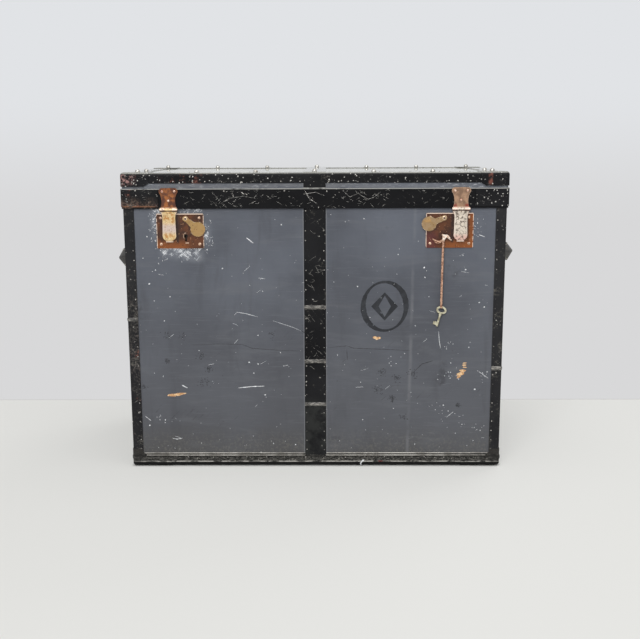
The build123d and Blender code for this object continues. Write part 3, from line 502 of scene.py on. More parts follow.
SEAM_HEIGHT = 0.0085
SEAM_PROUD = 0.0014
SEAM_WRAP = 0.0185
CORNER_RADIUS = 0.0042
BEAD_PROUD = 0.0009
FOLD_HALF = (0.381, 0.185)


def ridge(mesh, path, outs, height, proud):
    """A low rounded ridge along a path, with the way out of the surface given at each point."""
    arch = [(math.cos(math.pi * n / 6), math.sin(math.pi * n / 6)) for n in range(7)]
    rings = []
    for place, out in zip(path, outs):
        points = [place + Vector((0, 0, height / 2 * a)) + out * proud * b for a, b in arch]
        rings.append([mesh.verts.new(point) for point in points])
    for low, high in zip(rings, rings[1:]):
        for n in range(6):
            mesh.faces.new((low[n], low[n + 1], high[n + 1], high[n]))
    mesh.faces.new(rings[0])
    mesh.faces.new(rings[-1][::-1])


def straight_ridge(mesh, ends, out, height, proud):
    ridge(mesh, [Vector(end) for end in ends], [Vector(out)] * 2, height, proud)


def round_corner(hand, facing, z):
    """A path over one upright corner, from its front or back face to its side face."""
    middle = Vector((hand * (side_x - CORNER_RADIUS), facing * (-front_y - CORNER_RADIUS), z))
    turns = [math.pi / 2 * n / 6 for n in range(7)]
    outs = [Vector((hand * math.sin(turn), facing * math.cos(turn), 0)) for turn in turns]
    path = [middle + out * CORNER_RADIUS for out in outs]
    start = middle + Vector((-hand * SEAM_WRAP, facing * CORNER_RADIUS, 0))
    end = middle + Vector((hand * CORNER_RADIUS, -facing * SEAM_WRAP, 0))
    return [start, *path, end], [Vector((0, facing, 0)), *outs, Vector((hand, 0, 0))]


def rubbed_seam():
    paint = Finish("rubbed_seam", 52, 51, 50)
    brushed = paint.patch(0.42, 0.62, 130, 5, 0.7, (1, 1, 5))
    paint.coat(168, 164, 157, brushed * paint.patch(0.3, 0.5, 40))
    return paint.close(0.55, brushed, 0.0002)


def folded_edge():
    paint = Finish("folded_edge", 160, 156, 148)
    rubbed = paint.patch(0.38, 0.6, 45, 5, 0.7)
    paint.coat(224, 220, 212, rubbed)
    return paint.close(0.5, rubbed, 0.0002)


seams = bmesh.new()
for facing, z in ((-1, 0.3585), (-1, 0.2395), (-1, 0.1430), (1, 0.3010), (1, 0.1720)):
    ends = [(x, -facing * front_y, z) for x in (strap_low.x, strap_high.x)]
    straight_ridge(seams, ends, (0, facing, 0), SEAM_HEIGHT, SEAM_PROUD)
for hand, facing, z in ((-1, -1, 0.332), (1, -1, 0.223), (-1, 1, 0.262), (1, 1, 0.361)):
    ridge(seams, *round_corner(hand, facing, z), SEAM_HEIGHT, SEAM_PROUD)
piece("strap_seams", seams, rubbed_seam(), "body")

canvas_x, canvas_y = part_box("body_canvas")[1].xy
upper_bead, lower_bead = (strip_top + 0.0036, 0.0016), (strip_top - 0.0009, 0.0015)
fold = bmesh.new()
for facing in (-1, 1):
    for start, end in ((-FOLD_HALF[0], strap_low.x), (strap_high.x, FOLD_HALF[0])):
        for depth, (z, height) in ((canvas_y, upper_bead), (-front_y, lower_bead)):
            ends = [(x, facing * depth, z) for x in (start, end)]
            straight_ridge(fold, ends, (0, facing, 0), height, BEAD_PROUD)
    for depth, (z, height) in ((canvas_x, upper_bead), (side_x, lower_bead)):
        ends = [(facing * depth, y, z) for y in (-FOLD_HALF[1], FOLD_HALF[1])]
        straight_ridge(fold, ends, (facing, 0, 0), height, BEAD_PROUD)
piece("bottom_fold", fold, folded_edge(), "body")

# ---- Flaked paint, chips and scratches ----
# Flecks of white paint have stuck round the locks and all over the canvas, a few knocks have gone
# through to the bare wood, and the fibre is covered in hairline scratches.

FLECK_CORNERS = 7
SCRATCH_STEP = 0.003


def on_face(face, across, up, lift):
    """A place on one side of the body: across runs to the right as that side is seen, and up is Z."""
    out_y, out_x = canvas_y + lift, canvas_x + lift
    places = {
        "front": (across, -out_y, up),
        "back": (-across, out_y, up),
        "left": (-out_x, -across, up),
        "right": (out_x, across, up),
    }
    return Vector(places[face])


def fleck(mesh, face, across, up, length, width, lean, step_out=0.0):
    """One thin ragged flake, on the canvas or so far out from it."""
    lift = chance.uniform(0.00004, 0.00012) + step_out
    outline = []
    for n in range(FLECK_CORNERS):
        turn = math.tau * n / FLECK_CORNERS
        reach = chance.uniform(0.55, 1.0) / 2
        a, b = length * reach * math.cos(turn), width * reach * math.sin(turn)
        u = across + a * math.cos(lean) - b * math.sin(lean)
        v = up + a * math.sin(lean) + b * math.cos(lean)
        outline.append(mesh.verts.new(on_face(face, u, v, lift)))
    mesh.faces.new(outline)


def heading(points, place, closed=False):
    """Which way a line runs at one of its points."""
    last = len(points) - 1
    ahead = points[(place + 1) % len(points) if closed else min(place + 1, last)]
    return (ahead - points[place - 1 if closed else max(place - 1, 0)]).normalized()


def scratch(mesh, face, points, width, step_out=0.0):
    """A mark through some places, uneven in width and thin at both ends."""
    lift = chance.uniform(0.00004, 0.00012) + step_out
    points = [Vector(point) for point in points]
    stops = []
    for start, end in zip(points, points[1:]):
        count = max(2, round((end - start).length / SCRATCH_STEP))
        stops += [start.lerp(end, n / count) for n in range(count)]
    stops.append(points[-1])
    edges = []
    for n, stop in enumerate(stops):
        taper = math.sin(math.pi * (n + 0.5) / len(stops)) ** 0.5
        across = heading(stops, n).orthogonal() * (width / 2 * taper * chance.uniform(0.5, 1.0))
        edges.append([mesh.verts.new(on_face(face, *spot, lift)) for spot in (stop + across, stop - across)])
    for low, high in zip(edges, edges[1:]):
        mesh.faces.new((low[0], low[1], high[1], high[0]))


def marks(name, flake, mesh, light, dark, body, slot):
    """Turns flat marks into a piece with a patchy colour of its own."""
    paint = Finish(flake, *light)
    paint.coat(*dark, paint.patch(0.4, 0.62, 260, 3))
    piece(name, mesh, paint.close(0.7), body, smooth=False, closed=False)


# Each row: left, right, foot and top of a patch, how many flecks, and how they crowd to its top.
FLAKED_PATCHES = (
    (-0.352, -0.3365, 0.497, 0.571, 26, 1),
    (-0.2345, -0.2150, 0.490, 0.546, 26, 1),
    (-0.334, -0.228, 0.5605, 0.5695, 14, 1),
    (-0.334, -0.228, 0.452, 0.4865, 44, 1.7),
    (0.3365, 0.3560, 0.502, 0.550, 14, 1),
)
# Each row: the middle of a cluster, its spread and its number of flecks.
CLUSTERS = (
    (0.288, 0.203, 0.012, 12), (0.362, 0.205, 0.008, 8), (0.262, 0.142, 0.016, 9), (0.300, 0.100, 0.020, 12),
    (0.358, 0.086, 0.012, 7), (0.175, 0.240, 0.014, 8), (0.285, 0.275, 0.010, 8), (-0.330, 0.100, 0.020, 9),
)
BRIGHT_FLECKS = (
    (-0.355, 0.410), (-0.1975, 0.443), (-0.110, 0.164), (-0.144, 0.237), (-0.366, 0.0945),
    (0.233, 0.444), (0.321, 0.439), (0.348, 0.176), (0.280, 0.140), (0.352, 0.368), (0.363, 0.358),
)
LINT = (
    (0.1040, 0.0130, 0.0090, 0.0055, 0.7), (0.1005, 0.0090, 0.0095, 0.0045, 1.1),
    (0.1000, 0.0052, 0.0045, 0.0028, 1.4),
)
SCRATCHES = (
    (((-0.1447, 0.5083), (-0.1307, 0.4968)), 0.0026),
    (((-0.1755, 0.3406), (-0.1681, 0.3479), (-0.150, 0.345), (-0.1235, 0.3375)), 0.0011),
    (((-0.1689, 0.1795), (-0.140, 0.1825), (-0.1116, 0.1836)), 0.0022),
    (((-0.2921, 0.1859), (-0.2805, 0.1798)), 0.0030),
    (((-0.3169, 0.0650), (-0.3066, 0.0626), (-0.2946, 0.0650)), 0.0016),
    (((-0.3758, 0.1160), (-0.3629, 0.1052)), 0.0014),
    (((-0.0918, 0.3292), (-0.0457, 0.3137), (-0.030, 0.306)), 0.0008),
    (((0.2663, 0.3054), (0.268, 0.285), (0.2714, 0.2669)), 0.0013),
    (((0.3553, 0.2158), (0.3761, 0.2008)), 0.0016),
    (((0.287, 0.112), (0.302, 0.125)), 0.0010),
    (((0.3473, 0.5133), (0.3602, 0.5090)), 0.0016),
)
flakes = bmesh.new()
for left, right, foot, top, count, crowd in FLAKED_PATCHES:
    for n in range(count):
        u, v = chance.uniform(left, right), top - (top - foot) * chance.random() ** crowd
        lean = chance.choice((0.8, -0.75, 1.4)) + chance.uniform(-0.35, 0.35)
        fleck(flakes, "front", u, v, chance.uniform(0.0015, 0.0062), chance.uniform(0.0006, 0.0014), lean)
for face, half in (("front", 0.378), ("back", 0.378), ("left", 0.18), ("right", 0.18)):
    for n in range(round(half * 420)):
        size = 0.0012 + 0.0022 * chance.random() ** 3
        fleck(flakes, face, chance.uniform(-half, half), 0.04 + 0.52 * chance.random() ** 1.2, size, size, 0)
for u, v, spread, count in CLUSTERS:
    for n in range(count):
        size = chance.uniform(0.0014, 0.0028)
        fleck(flakes, "front", chance.gauss(u, spread), chance.gauss(v, spread * 0.7), size, size * 0.8, 0)
for u, v in BRIGHT_FLECKS:
    fleck(flakes, "front", u, v, 0.0046, 0.0038, 0.3)
strip_out = -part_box("bottom_binding")[0].y - canvas_y
for shape in LINT:
    fleck(flakes, "front", *shape, strip_out)
for points, width in SCRATCHES:
    scratch(flakes, "front", points, width)
for face, half in (("front", 0.37), ("back", 0.37), ("left", 0.17), ("right", 0.17)):
    for n in range(round(half * 60)):
        u, v = chance.uniform(-half, half), chance.uniform(0.05, 0.5)
        lean, length = chance.uniform(-0.5, 0.9), chance.uniform(0.005, 0.018)
        ends = ((u, v), (u + length * math.cos(lean), v + length * math.sin(lean)))
        scratch(flakes, face, ends, chance.uniform(0.0004, 0.0009))
WHITES = (240, 242, 244), (196, 198, 202)
marks("paint_flecks", "white_paint_flecks", flakes, *WHITES, "body", "canvas")

DARK_LINES = (
    (((-0.2702, 0.2759), (-0.210, 0.278), (-0.1595, 0.2771), (-0.1364, 0.2681), (-0.0811, 0.2640),
      (-0.0259, 0.2618)), 0.0014),
    (((0.0261, 0.2691), (0.0682, 0.2734), (0.0827, 0.2683), (0.1582, 0.2651), (0.2047, 0.2626)), 0.0016),
    (((0.2112, 0.2117), (0.2313, 0.2327), (0.2559, 0.2401)), 0.0022),
    (((0.0682, 0.2660), (0.0696, 0.2421)), 0.0018),
    (((-0.0300, 0.3065), (-0.0212, 0.3018)), 0.0022),
    (((0.1679, 0.1636), (0.1681, 0.1453)), 0.0030),
)
DARK_SMUDGES = (
    (-0.244, 0.190, 0.010), (0.178, 0.2015, 0.008), (0.136, 0.1745, 0.009), (-0.249, 0.251, 0.008),
    (-0.232, 0.223, 0.007), (0.146, 0.216, 0.008), (0.213, 0.2120, 0.008), (0.166, 0.156, 0.007),
    (0.311, 0.140, 0.005), (-0.323, 0.240, 0.006),
)
PALE_SMUDGES = (
    (-0.373, 0.181, 0.006), (-0.2875, 0.297, 0.009), (-0.324, 0.298, 0.008), (-0.095, 0.2976, 0.008),
    (0.194, 0.112, 0.008),
)
smudges = bmesh.new()
for points, width in DARK_LINES:
    scratch(smudges, "front", points, width)
for group, count in ((DARK_SMUDGES, 34), (PALE_SMUDGES, 18)):
    for u, v, size in group:
        for n in range(count):
            drift = [chance.gauss(0, size * reach) for reach in (0.62, 0.5)]
            length, lean = chance.uniform(0.002, 0.005), chance.uniform(-0.4, 1.2)
            fleck(smudges, "front", u + drift[0], v + drift[1], length, 0.0018, lean)
DARKS = (44, 45, 48), (62, 63, 68)
marks("dark_scratches", "dark_scratches", smudges, *DARKS, "body", "canvas")

CHIPS = (
    (-0.3135, 0.1632, 0.026, 0.0080, 0), (-0.2990, 0.1650, 0.030, 0.0075, 0.12),
    (-0.2890, 0.1668, 0.014, 0.0040, 0.2),
    (0.1300, 0.2915, 0.014, 0.0085, -0.2), (0.1370, 0.2905, 0.012, 0.0065, 0.1),
    (0.1335, 0.2880, 0.008, 0.0040, 0),
    (0.3240, 0.2345, 0.013, 0.0034, 0.1), (0.3230, 0.2300, 0.016, 0.0036, 0),
    (0.3245, 0.2255, 0.013, 0.0040, -0.1),
    (0.3200, 0.2180, 0.018, 0.0075, 0.1), (0.3165, 0.2110, 0.021, 0.0100, 0.3),
    (0.3120, 0.2035, 0.012, 0.0060, 0.4),
)
chips = bmesh.new()
for shape in CHIPS:
    fleck(chips, "front", *shape)
WOODS = (232, 196, 150), (190, 138, 92)
marks("bare_chips", "bare_wood_chips", chips, *WOODS, "body", "bare_wood")

# Each row: how high up a strap the hairs lie, their spread and their number.
STRAP_HAIRS = ((0.300, 0.05, 6), (0.415, 0.035, 11), (0.455, 0.02, 6), (0.260, 0.02, 5), (0.55, 0.03, 5))
hairs = bmesh.new()
for face in ("front", "back"):
    for middle, spread, count in STRAP_HAIRS:
        for n in range(count):
            u, v = chance.uniform(-0.021, 0.012), chance.gauss(middle, spread)
            lean, length = chance.uniform(-1.2, 1.2), chance.uniform(0.004, 0.018)
            bend = chance.uniform(-0.003, 0.003)
            middle_u, end_u = (min(u + length * share * math.cos(lean), 0.022) for share in (0.5, 1))
            rise = length * math.sin(lean)
            ends = ((u, v), (middle_u, v + rise / 2 + bend), (end_u, v + rise))
            scratch(hairs, face, ends, chance.uniform(0.0003, 0.0008), -front_y - canvas_y)
GREYS = (158, 156, 150), (92, 90, 87)
marks("strap_hairlines", "fibre_hairlines", hairs, *GREYS, "body", "black_fibre")

LONG_HAIRS = (
    (((0.085, 0.6073), (0.096, 0.598), (0.1132, 0.589), (0.126, 0.594), (0.1384, 0.6043)), 0.0009),
    (((0.060, 0.606), (0.074, 0.594), (0.092, 0.601)), 0.0007),
    (((-0.154, 0.605), (-0.149, 0.601)), 0.0022),
    (((-0.021, 0.609), (-0.012, 0.592), (0.006, 0.579)), 0.0010),
    (((-0.024, 0.600), (0.002, 0.604), (0.020, 0.597)), 0.0008),
    (((-0.198, 0.580), (-0.180, 0.592), (-0.150, 0.596), (-0.120, 0.591)), 0.0005),
)
SHORT_HAIRS = (
    ("front", -0.205, -0.110, 30), ("front", -0.39, 0.39, 100), ("front", 0.06, 0.15, 14),
    ("left", -0.19, 0.19, 40), ("right", -0.19, 0.19, 40),
)
band_hairs = bmesh.new()
band_out = -band_low.y - canvas_y
for points, width in LONG_HAIRS:
    scratch(band_hairs, "front", points, width, band_out)
for face, left, right, count in SHORT_HAIRS:
    out = band_out if face == "front" else band_high.x - canvas_x
    for n in range(count):
        u, v = chance.uniform(left, right), chance.uniform(0.573, 0.609)
        lean, length = chance.uniform(-1.0, 1.0), chance.uniform(0.002, 0.011)
        ends = ((u, v), (u + length * math.cos(lean), min(max(v + length * math.sin(lean), 0.571), 0.611)))
        scratch(band_hairs, face, ends, chance.uniform(0.00025, 0.0006), out)
PALE_GREYS = (204, 202, 196), (92, 90, 87)
marks("valance_hairlines", "valance_hairlines", band_hairs, *PALE_GREYS, "lid", "black_fibre")

# ---- Painted badge ----
# Someone painted a plain oval ring with a lozenge in it on the right-hand panel, in black enamel
# with a flat brush. It has worn thin and shows the canvas through it.

BADGE_MIDDLE = (0.1495, 0.3600)
# Half the width and height of each, the width of the brush, and the number of sides.
RING = (0.046, 0.053), 0.0085, 90
LOZENGE = (0.021, 0.027), 0.012, 4


def brushed_ring(mesh, half, width, sides):
    """An oval ring or a lozenge, painted with an uneven brush."""
    inner, outer = [], []
    for n in range(sides):
        turn = math.tau * n / sides
        swell = width * (1 + 0.45 * math.sin(turn * 2 + 0.8)) * chance.uniform(0.88, 1.08) / 2
        for line, reach in ((inner, -swell), (outer, swell)):
            u = BADGE_MIDDLE[0] + (half[0] + reach) * math.cos(turn)
            v = BADGE_MIDDLE[1] + (half[1] + reach) * math.sin(turn)
            line.append(mesh.verts.new(on_face("front", u, v, 0.00002)))
    for n in range(sides):
        mesh.faces.new((inner[n - 1], outer[n - 1], outer[n], inner[n]))


def worn_enamel():
    paint = Finish("worn_enamel", 34, 36, 40)
    paint.coat(50, 52, 57, paint.patch(0.4, 0.7, 60, 4))
    paint.coat(86, 89, 96, paint.patch(0.60, 0.68, 38, 5, 0.7))
    return paint.close(0.5, Specular_IOR_Level=0.3)


badge = bmesh.new()
brushed_ring(badge, *RING)
brushed_ring(badge, *LOZENGE)
piece("painted_badge", badge, worn_enamel(), "body", smooth=False, closed=False)

# ---- Skids ----
# Three oak skids are screwed under the bottom, from side to side. They carry the trunk, and their
# black paint has worn thin along the grain.


def skid_oak():
    paint = Finish("skid_oak", 52, 42, 34)
    grain = paint.cloud(3, 6, 0.55, (6, 70, 70))
    paint.coat(92, 72, 52, step(grain, 0.35, 0.7))
    return paint.close(0.75, grain, 0.0008)


dress(skid_oak(), "skid_front", "skid_middle", "skid_back")

# ---- Locks, hasps and studs ----
# Lock plates and hasp plates are brass gone red-brown. The hasps are paler cast brass, the keyhole
# covers are a duller yellow, the rivets are coppery, and the studs are nickelled.

hasp_low, hasp_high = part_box("hasp_right")
plate_low, plate_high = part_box("lock_plate_right")
pin_low, pin_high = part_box("cover_pivots")
HASP_MIDDLE = (hasp_low.x + hasp_high.x) / 2
HASP_NECK = hasp_high.z - 0.0058
PLATE_TOP = plate_high.z
PLATE_HALF = 0.05
PLATE_SHIFT = HASP_MIDDLE - (plate_low.x + plate_high.x) / 2
PIVOT_HEIGHT = (pin_low.z + pin_high.z) / 2
KEYHOLE = (0.273, 0.5115)
EYE_RADIUS = 0.0052
NECK_HALF = 0.0040
DROP_RADIUS = 0.0150
DROP_MIDDLE = 0.0342
COVER_ROUNDING = 0.0006


# Serves both for rubbed metal and for painted shade along edges.
def sharp_edges(paint, radius, low=0.98, high=0.8):
    """1 along the sharp edges of a piece, and 0 on its flat faces."""
    rounded = paint.at.node("Bevel", sockets={"Radius": radius})
    plain = paint.at.node("NewGeometry", output="Normal")
    return step(rounded.vector("DOT_PRODUCT", rounded, plain, output="Value"), low, high)


def distance(x, z):
    """How far a place is from where x and z are both 0."""
    return x.vector("LENGTH", x.node("CombineXYZ", sockets={"X": x, "Z": z}), output="Value")


def old_metal(name, light, dark, scale, metal, rough):
    """A tarnished metal, blotched and speckled."""
    paint = Finish(name, *light)
    paint.coat(*dark, paint.patch(0.36, 0.64, scale, 6, 0.65))
    fine = paint.cloud(scale * 5)
    paint.coat(*[level * 0.6 for level in dark], step(fine, 0.6, 0.74) * 0.6)
    return paint.close(rough + fine * 0.25, fine, 0.0003, Metallic=metal)


def lock_plate_brass():
    """Brown tarnish with a painted shadow beside the hasp, and a bright lip, edges and keyhole rim."""
    paint = Finish("lock_plate_brass", 95, 51, 23)
    x, _, z = paint.place()
    paint.coat(57, 29, 13, paint.patch(0.36, 0.62, 45, 5, 0.65))
    paint.coat(146, 80, 28, step(z, 0.512, 0.490) * step(abs(x), 0.250, 0.285) * 0.7)
    paint.coat(142, 76, 24, step(x, 0.3200, 0.3285) * 0.7)
    # A painted shadow beside the hasp, darkest on its inner side and stopping at the hasp's foot.
    hasp_shadow = between(abs(x), 0.2880, 0.2935, 0.0016) + between(abs(x), 0.3215, 0.3270, 0.0016) * 0.45
    paint.coat(38, 18, 9, hasp_shadow * step(z, 0.4945, 0.5010) * 0.85)
    maroon = step(x, 0.268, 0.248) * step(x, 0, 0.1) * step(z, 0.535, 0.505)
    paint.coat(92, 40, 42, maroon * 0.7)
    paint.coat(60, 34, 20, paint.patch(0.6, 0.68, 210, 4) * 0.7)
    paint.coat(214, 160, 116, paint.patch(0.66, 0.70, 330, 3) * 0.6)
    lip = step(z, PLATE_TOP - 0.0021, PLATE_TOP - 0.0012)
    off = abs(abs(abs(x) - HASP_MIDDLE + PLATE_SHIFT) - PLATE_HALF)
    sides = step(off, 0.0018, 0.0008) * paint.patch(0.42, 0.52, 150)
    paint.coat(236, 212, 192, step(lip + sides, 0, 1) * 0.9)
    from_hole = distance(abs(x) - KEYHOLE[0], (z - KEYHOLE[1]) * 0.72)
    ring = step(abs(from_hole - 0.0052), 0.0014, 0.0006) * paint.patch(0.36, 0.5, 120)
    dash = step(abs(x + 0.2708), 0.0042, 0.003) * step(abs(z - 0.4978), 0.0015, 0.0006)
    paint.coat(214, 182, 156, ring * step(x, -0.2715, -0.2745) * 0.55 + dash * 0.9)
    return paint.close(0.42, paint.cloud(240), 0.0003, Metallic=0.25)


def hasp_plate_brass():
    """Brown on the left and pinkish on the right, with the knuckle at the foot rubbed bright by the hasp, and
    painted shade at the sides and under the knuckle.
    """
    paint = Finish("hasp_plate_brass", 158, 96, 48)
    x, _, z = paint.place()
    right_hand, left_hand = step(x, -0.1, 0.1), step(x, 0.1, -0.1)
    paint.coat(86, 47, 31, paint.patch(0.38, 0.60, 90, 6))
    # Painted shade towards the plate's sides, away from the hasp.
    paint.coat(74, 40, 26, step(abs(abs(x) - HASP_MIDDLE), 0.0090, 0.0135) * 0.45)
    pinkish = over(tint(172, 137, 110), tint(126, 98, 78), paint.patch(0.36, 0.64, 90, 6))
    paint.colour = over(paint.colour, pinkish, right_hand)
    # Painted shade along the left plate's edges.
    paint.coat(70, 40, 28, step(sharp_edges(paint, 0.0012) * left_hand, 0.2, 0.8) * 0.7)
    paint.coat(232, 212, 196, sharp_edges(paint, 0.0012) * paint.patch(0.35, 0.6, 90) * right_hand * 0.85)
    knuckle = step(z, 0.5735, 0.5715)
    paint.coat(244, 216, 190, knuckle * paint.patch(0.30, 0.45, 150))
    ruddy = between(abs(x - HASP_MIDDLE), 0.0085, 0.0160, 0.002) * between(z, 0.5730, 0.5790, 0.0015)
    paint.coat(136, 52, 42, ruddy * paint.patch(0.36, 0.5, 170) * 0.85)
    paint.coat(232, 208, 198, knuckle * right_hand * 0.6)
    # Painted shade in the gap under the knuckle.
    paint.coat(66, 38, 26, step(z, 0.5678, 0.5668) * 0.9)
    return paint.close(0.42, paint.cloud(300), 0.0003, Metallic=0.3)


def cast_brass():
    """Pale castings: the left one stained orange, the right one greyer and pitted; both bright-rimmed, with
    painted shade under the knuckle.
    """
    paint = Finish("cast_brass", 228, 200, 148)
    x, _, z = paint.place()
    off = abs(abs(x) - HASP_MIDDLE)
    inside, waist = step(off, 0.0135, 0.010), between(z, 0.519, 0.538, 0.006)
    orange = paint.patch(0.50, 0.60, 110, 5, 0.7) * step(off, 0.0135, 0.009)
    paint.coat(216, 198, 190, waist * 0.9)
    paint.coat(166, 128, 92, paint.patch(0.54, 0.60, 320, 4, 0.8) * inside * 0.6)
    paint.coat(186, 122, 48, orange * (1 - waist * 0.8) * 0.8)
    greyer = over(tint(220, 208, 192), tint(222, 176, 162), step(z, 0.520, 0.508) * 0.8)
    pits = paint.patch(0.525, 0.575, 230, 4, 0.75) * inside
    greyer = over(greyer, tint(92, 78, 66), pits * 0.9)
    paint.colour = over(paint.colour, greyer, step(x, -0.1, 0.1))
    paint.coat(120, 92, 60, paint.patch(0.63, 0.68, 360, 3) * inside * 0.8)
    paint.coat(248, 222, 204, step(off, 0.0125, 0.0150) * paint.patch(0.3, 0.5, 140) * 0.75)
    # Painted shade across the neck, just under the knuckle.
    paint.coat(66, 38, 26, step(abs(z - HASP_NECK), 0.0016, 0.0008) * 0.9)
    paint.coat(248, 226, 208, step(z, 0.5035, 0.5020) * 0.7)
    return paint.close(0.40, pits, 0.0003, Metallic=0.25)


def cover_brass():
    """Dull yellow on the left, browner on the right, mottled and pitted, with painted shade along the edges.
    """
    paint = Finish("cover_brass", 166, 133, 82)
    paint.coat(158, 131, 97, step(paint.place()[0], -0.1, 0.1))
    paint.coat(146, 114, 70, paint.patch(0.46, 0.62, 120, 5, 0.7) * 0.7)
    paint.coat(192, 150, 92, paint.patch(0.55, 0.68, 60, 4) * 0.6)
    paint.coat(84, 54, 34, spots(paint, 190, 0.0013, 0.8, 0.8) * 0.85)
    # Painted shade along the cover's edges.
    paint.coat(96, 64, 40, sharp_edges(paint, 0.0016, 0.985, 0.90) * paint.patch(0.42, 0.56, 120) * 0.7)
    paint.coat(240, 218, 182, sharp_edges(paint, 0.0010) * paint.patch(0.50, 0.56, 150) * 0.9)
    return paint.close(0.40, paint.cloud(300), 0.0003, Metallic=0.25)


def pivot_brass():
    """A bright ring round a dark, sunken middle."""
    paint = Finish("pivot_brass", 74, 44, 28)
    x, _, z = paint.place()
    from_pin = distance(abs(x) - KEYHOLE[0], z - PIVOT_HEIGHT)
    paint.coat(238, 212, 180, step(from_pin, 0.0018, 0.0028))
    return paint.close(0.35, from_pin, 0.0004, Metallic=0.25)


def skin(mesh, rings, closed=False):
    """Joins rings of corners into one surface, capped at both ends unless the last joins the first."""
    for low, high in zip(rings, rings[1:] + (rings[:1] if closed else [])):
        for n in range(len(low)):
            mesh.faces.new((low[n - 1], low[n], high[n], high[n - 1]))
    if not closed:
        mesh.faces.new(rings[0])
        mesh.faces.new(rings[-1][::-1])


def cover_half_width(along):
    """Half the width of a keyhole cover, so far below its rivet: an eye, a flaring neck and a round drop."""
    eye = math.sqrt(max(0, EYE_RADIUS ** 2 - along ** 2))
    flare = NECK_HALF * (1 + 0.75 * along / DROP_MIDDLE)
    neck = flare * min(max(along / 0.003, 0), 1) if along < DROP_MIDDLE else 0
    drop = math.sqrt(max(0, DROP_RADIUS ** 2 - (along - DROP_MIDDLE) ** 2))
    return (eye ** 6 + neck ** 6 + drop ** 6) ** (1 / 6)


def drop_cover(mesh, middle, down, back, front):
    """A flat drop-shaped plate with a rounded rim, hung from its rivet."""
    side = Vector((-down.z, 0, down.x))
    half_length = (DROP_MIDDLE + DROP_RADIUS + EYE_RADIUS) / 2
    stops = [half_length * (1 - math.cos(math.pi * n / 60)) - EYE_RADIUS for n in range(61)]
    flank = [Vector((along, cover_half_width(along))) for along in stops]
    outline = flank + [Vector((spot.x, -spot.y)) for spot in flank[-2:0:-1]]
    rings = []
    full, slight = COVER_ROUNDING, COVER_ROUNDING / 2
    for inset, y in ((slight, back), (0, back - slight), (0, front + full), (full, front)):
        ring = []
        for n, (along, across) in enumerate(outline):
            run = heading(outline, n, closed=True)
            spot = middle + down * (along - run.y * inset) + side * (across + run.x * inset)
            ring.append(mesh.verts.new((spot.x, y, spot.z)))
        rings.append(ring)
    skin(mesh, rings)


def pair(name):
    return [f"{name}_left", f"{name}_right"]


STEEL = [*pair("lock_case"), *pair("handle_caps"), *pair("hinge_body_leaf"), *pair("hinge_lid_leaf")]
dress(old_metal("nickel", (214, 212, 206), (140, 134, 126), 300, 0.9, 0.16), "dome_studs")
dress(old_metal("dark_steel", (84, 78, 72), (50, 44, 40), 90, 0.7, 0.4), *STEEL, "rim_lip")
BOLT_STEEL = old_metal("bright_steel", (190, 188, 182), (150, 142, 128), 120, 0.85, 0.28)
dress(BOLT_STEEL, *pair("lock_bolt"), "hinge_pins")
dress(old_metal("hasp_rivets", (236, 214, 194), (170, 104, 78), 260, 0.5, 0.25), "hasp_rivets")
dress(old_metal("plate_rivets", (240, 206, 176), (104, 60, 40), 330, 0.4, 0.3), "body_rivets")
dress(old_metal("key_metal", (214, 210, 184), (150, 142, 118), 160, 0.6, 0.3), "key")
dress(lock_plate_brass(), *pair("lock_plate"))
dress(hasp_plate_brass(), *pair("hasp_plate"))
dress(cast_brass(), *pair("hasp"), "hasp_pins")
dress(pivot_brass(), "cover_pivots")
COVER_BRASS = cover_brass()
for side, hand, swing in (("left", -1, 49), ("right", 1, 69)):
    node = f"keyhole_cover_{side}"
    low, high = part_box(node)
    down = Vector((-hand * math.sin(math.radians(swing)), 0, -math.cos(math.radians(swing))))
    plate = bmesh.new()
    drop_cover(plate, Vector((hand * KEYHOLE[0], 0, PIVOT_HEIGHT)), down, high.y, low.y)
    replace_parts(piece(f"cover_drop_{side}", plate, COVER_BRASS, node, smooth=False), node)

# ---- Handles ----
# Each handle is two pieces of harness leather moulded over a core and stitched together near their
# edges, dyed black. It narrows to a round end at each cap, and has sagged a little with use.

HANDLE_HALF_SPAN = 0.080
HANDLE_END = 0.0065
HANDLE_DEPTH = 0.0215
HANDLE_RIDGE = 0.0155
HANDLE_BELLY = 0.0045
HANDLE_EDGE = 0.0012
KNOB_SWELL = 1.2
KNOB_START, KNOB_END = 0.1075, 0.113
STALK_START = 0.094
SECTION_SPREAD = (0.06, 0.28, 0.5, 0.72, 0.94)
STITCH_GAP = 0.0058
STITCH_HALF = 0.0018
STITCHED_HALF = 0.066
STITCH_RADIUS = 0.0006
PIVOT_IN_CAP = 0.0092


def harness_leather():
    paint = Finish("harness_leather", 38, 36, 34)
    worn = paint.patch(0.46, 0.72, 30, 6)
    paint.coat(88, 84, 76, worn)
    paint.coat(104, 74, 54, paint.patch(0.58, 0.70, 60, 5, 0.7) * 0.6)
    # Painted shade along the grip's edges.
    paint.coat(20, 19, 18, sharp_edges(paint, 0.0015, 0.97, 0.85) * 0.7)
    grain = paint.at.node("TexVoronoi", sockets={"Vector": paint.at, "Scale": 420})
    return paint.close(0.5 + worn * 0.15, grain, 0.0004)


def stitch_thread():
    paint = Finish("stitch_thread", 214, 207, 190)
    paint.coat(104, 96, 84, paint.patch(0.46, 0.6, 160, 3))
    return paint.close(0.8)


def tube(mesh, points, radius, sides=8, closed=False):
    """A round tube along some points, added to a mesh; radius may be a rule for each share of its length."""
    rings = []
    side = Vector((1, 0, 0))
    for place, middle in enumerate(points):
        along = heading(points, place, closed)
        side = (side - along * side.dot(along)).normalized()
        width = radius(place / (len(points) - 1)) if callable(radius) else radius
        rings.append([mesh.verts.new(spot) for spot in circle(middle, side, along.cross(side), width, sides)])
    skin(mesh, rings, closed)


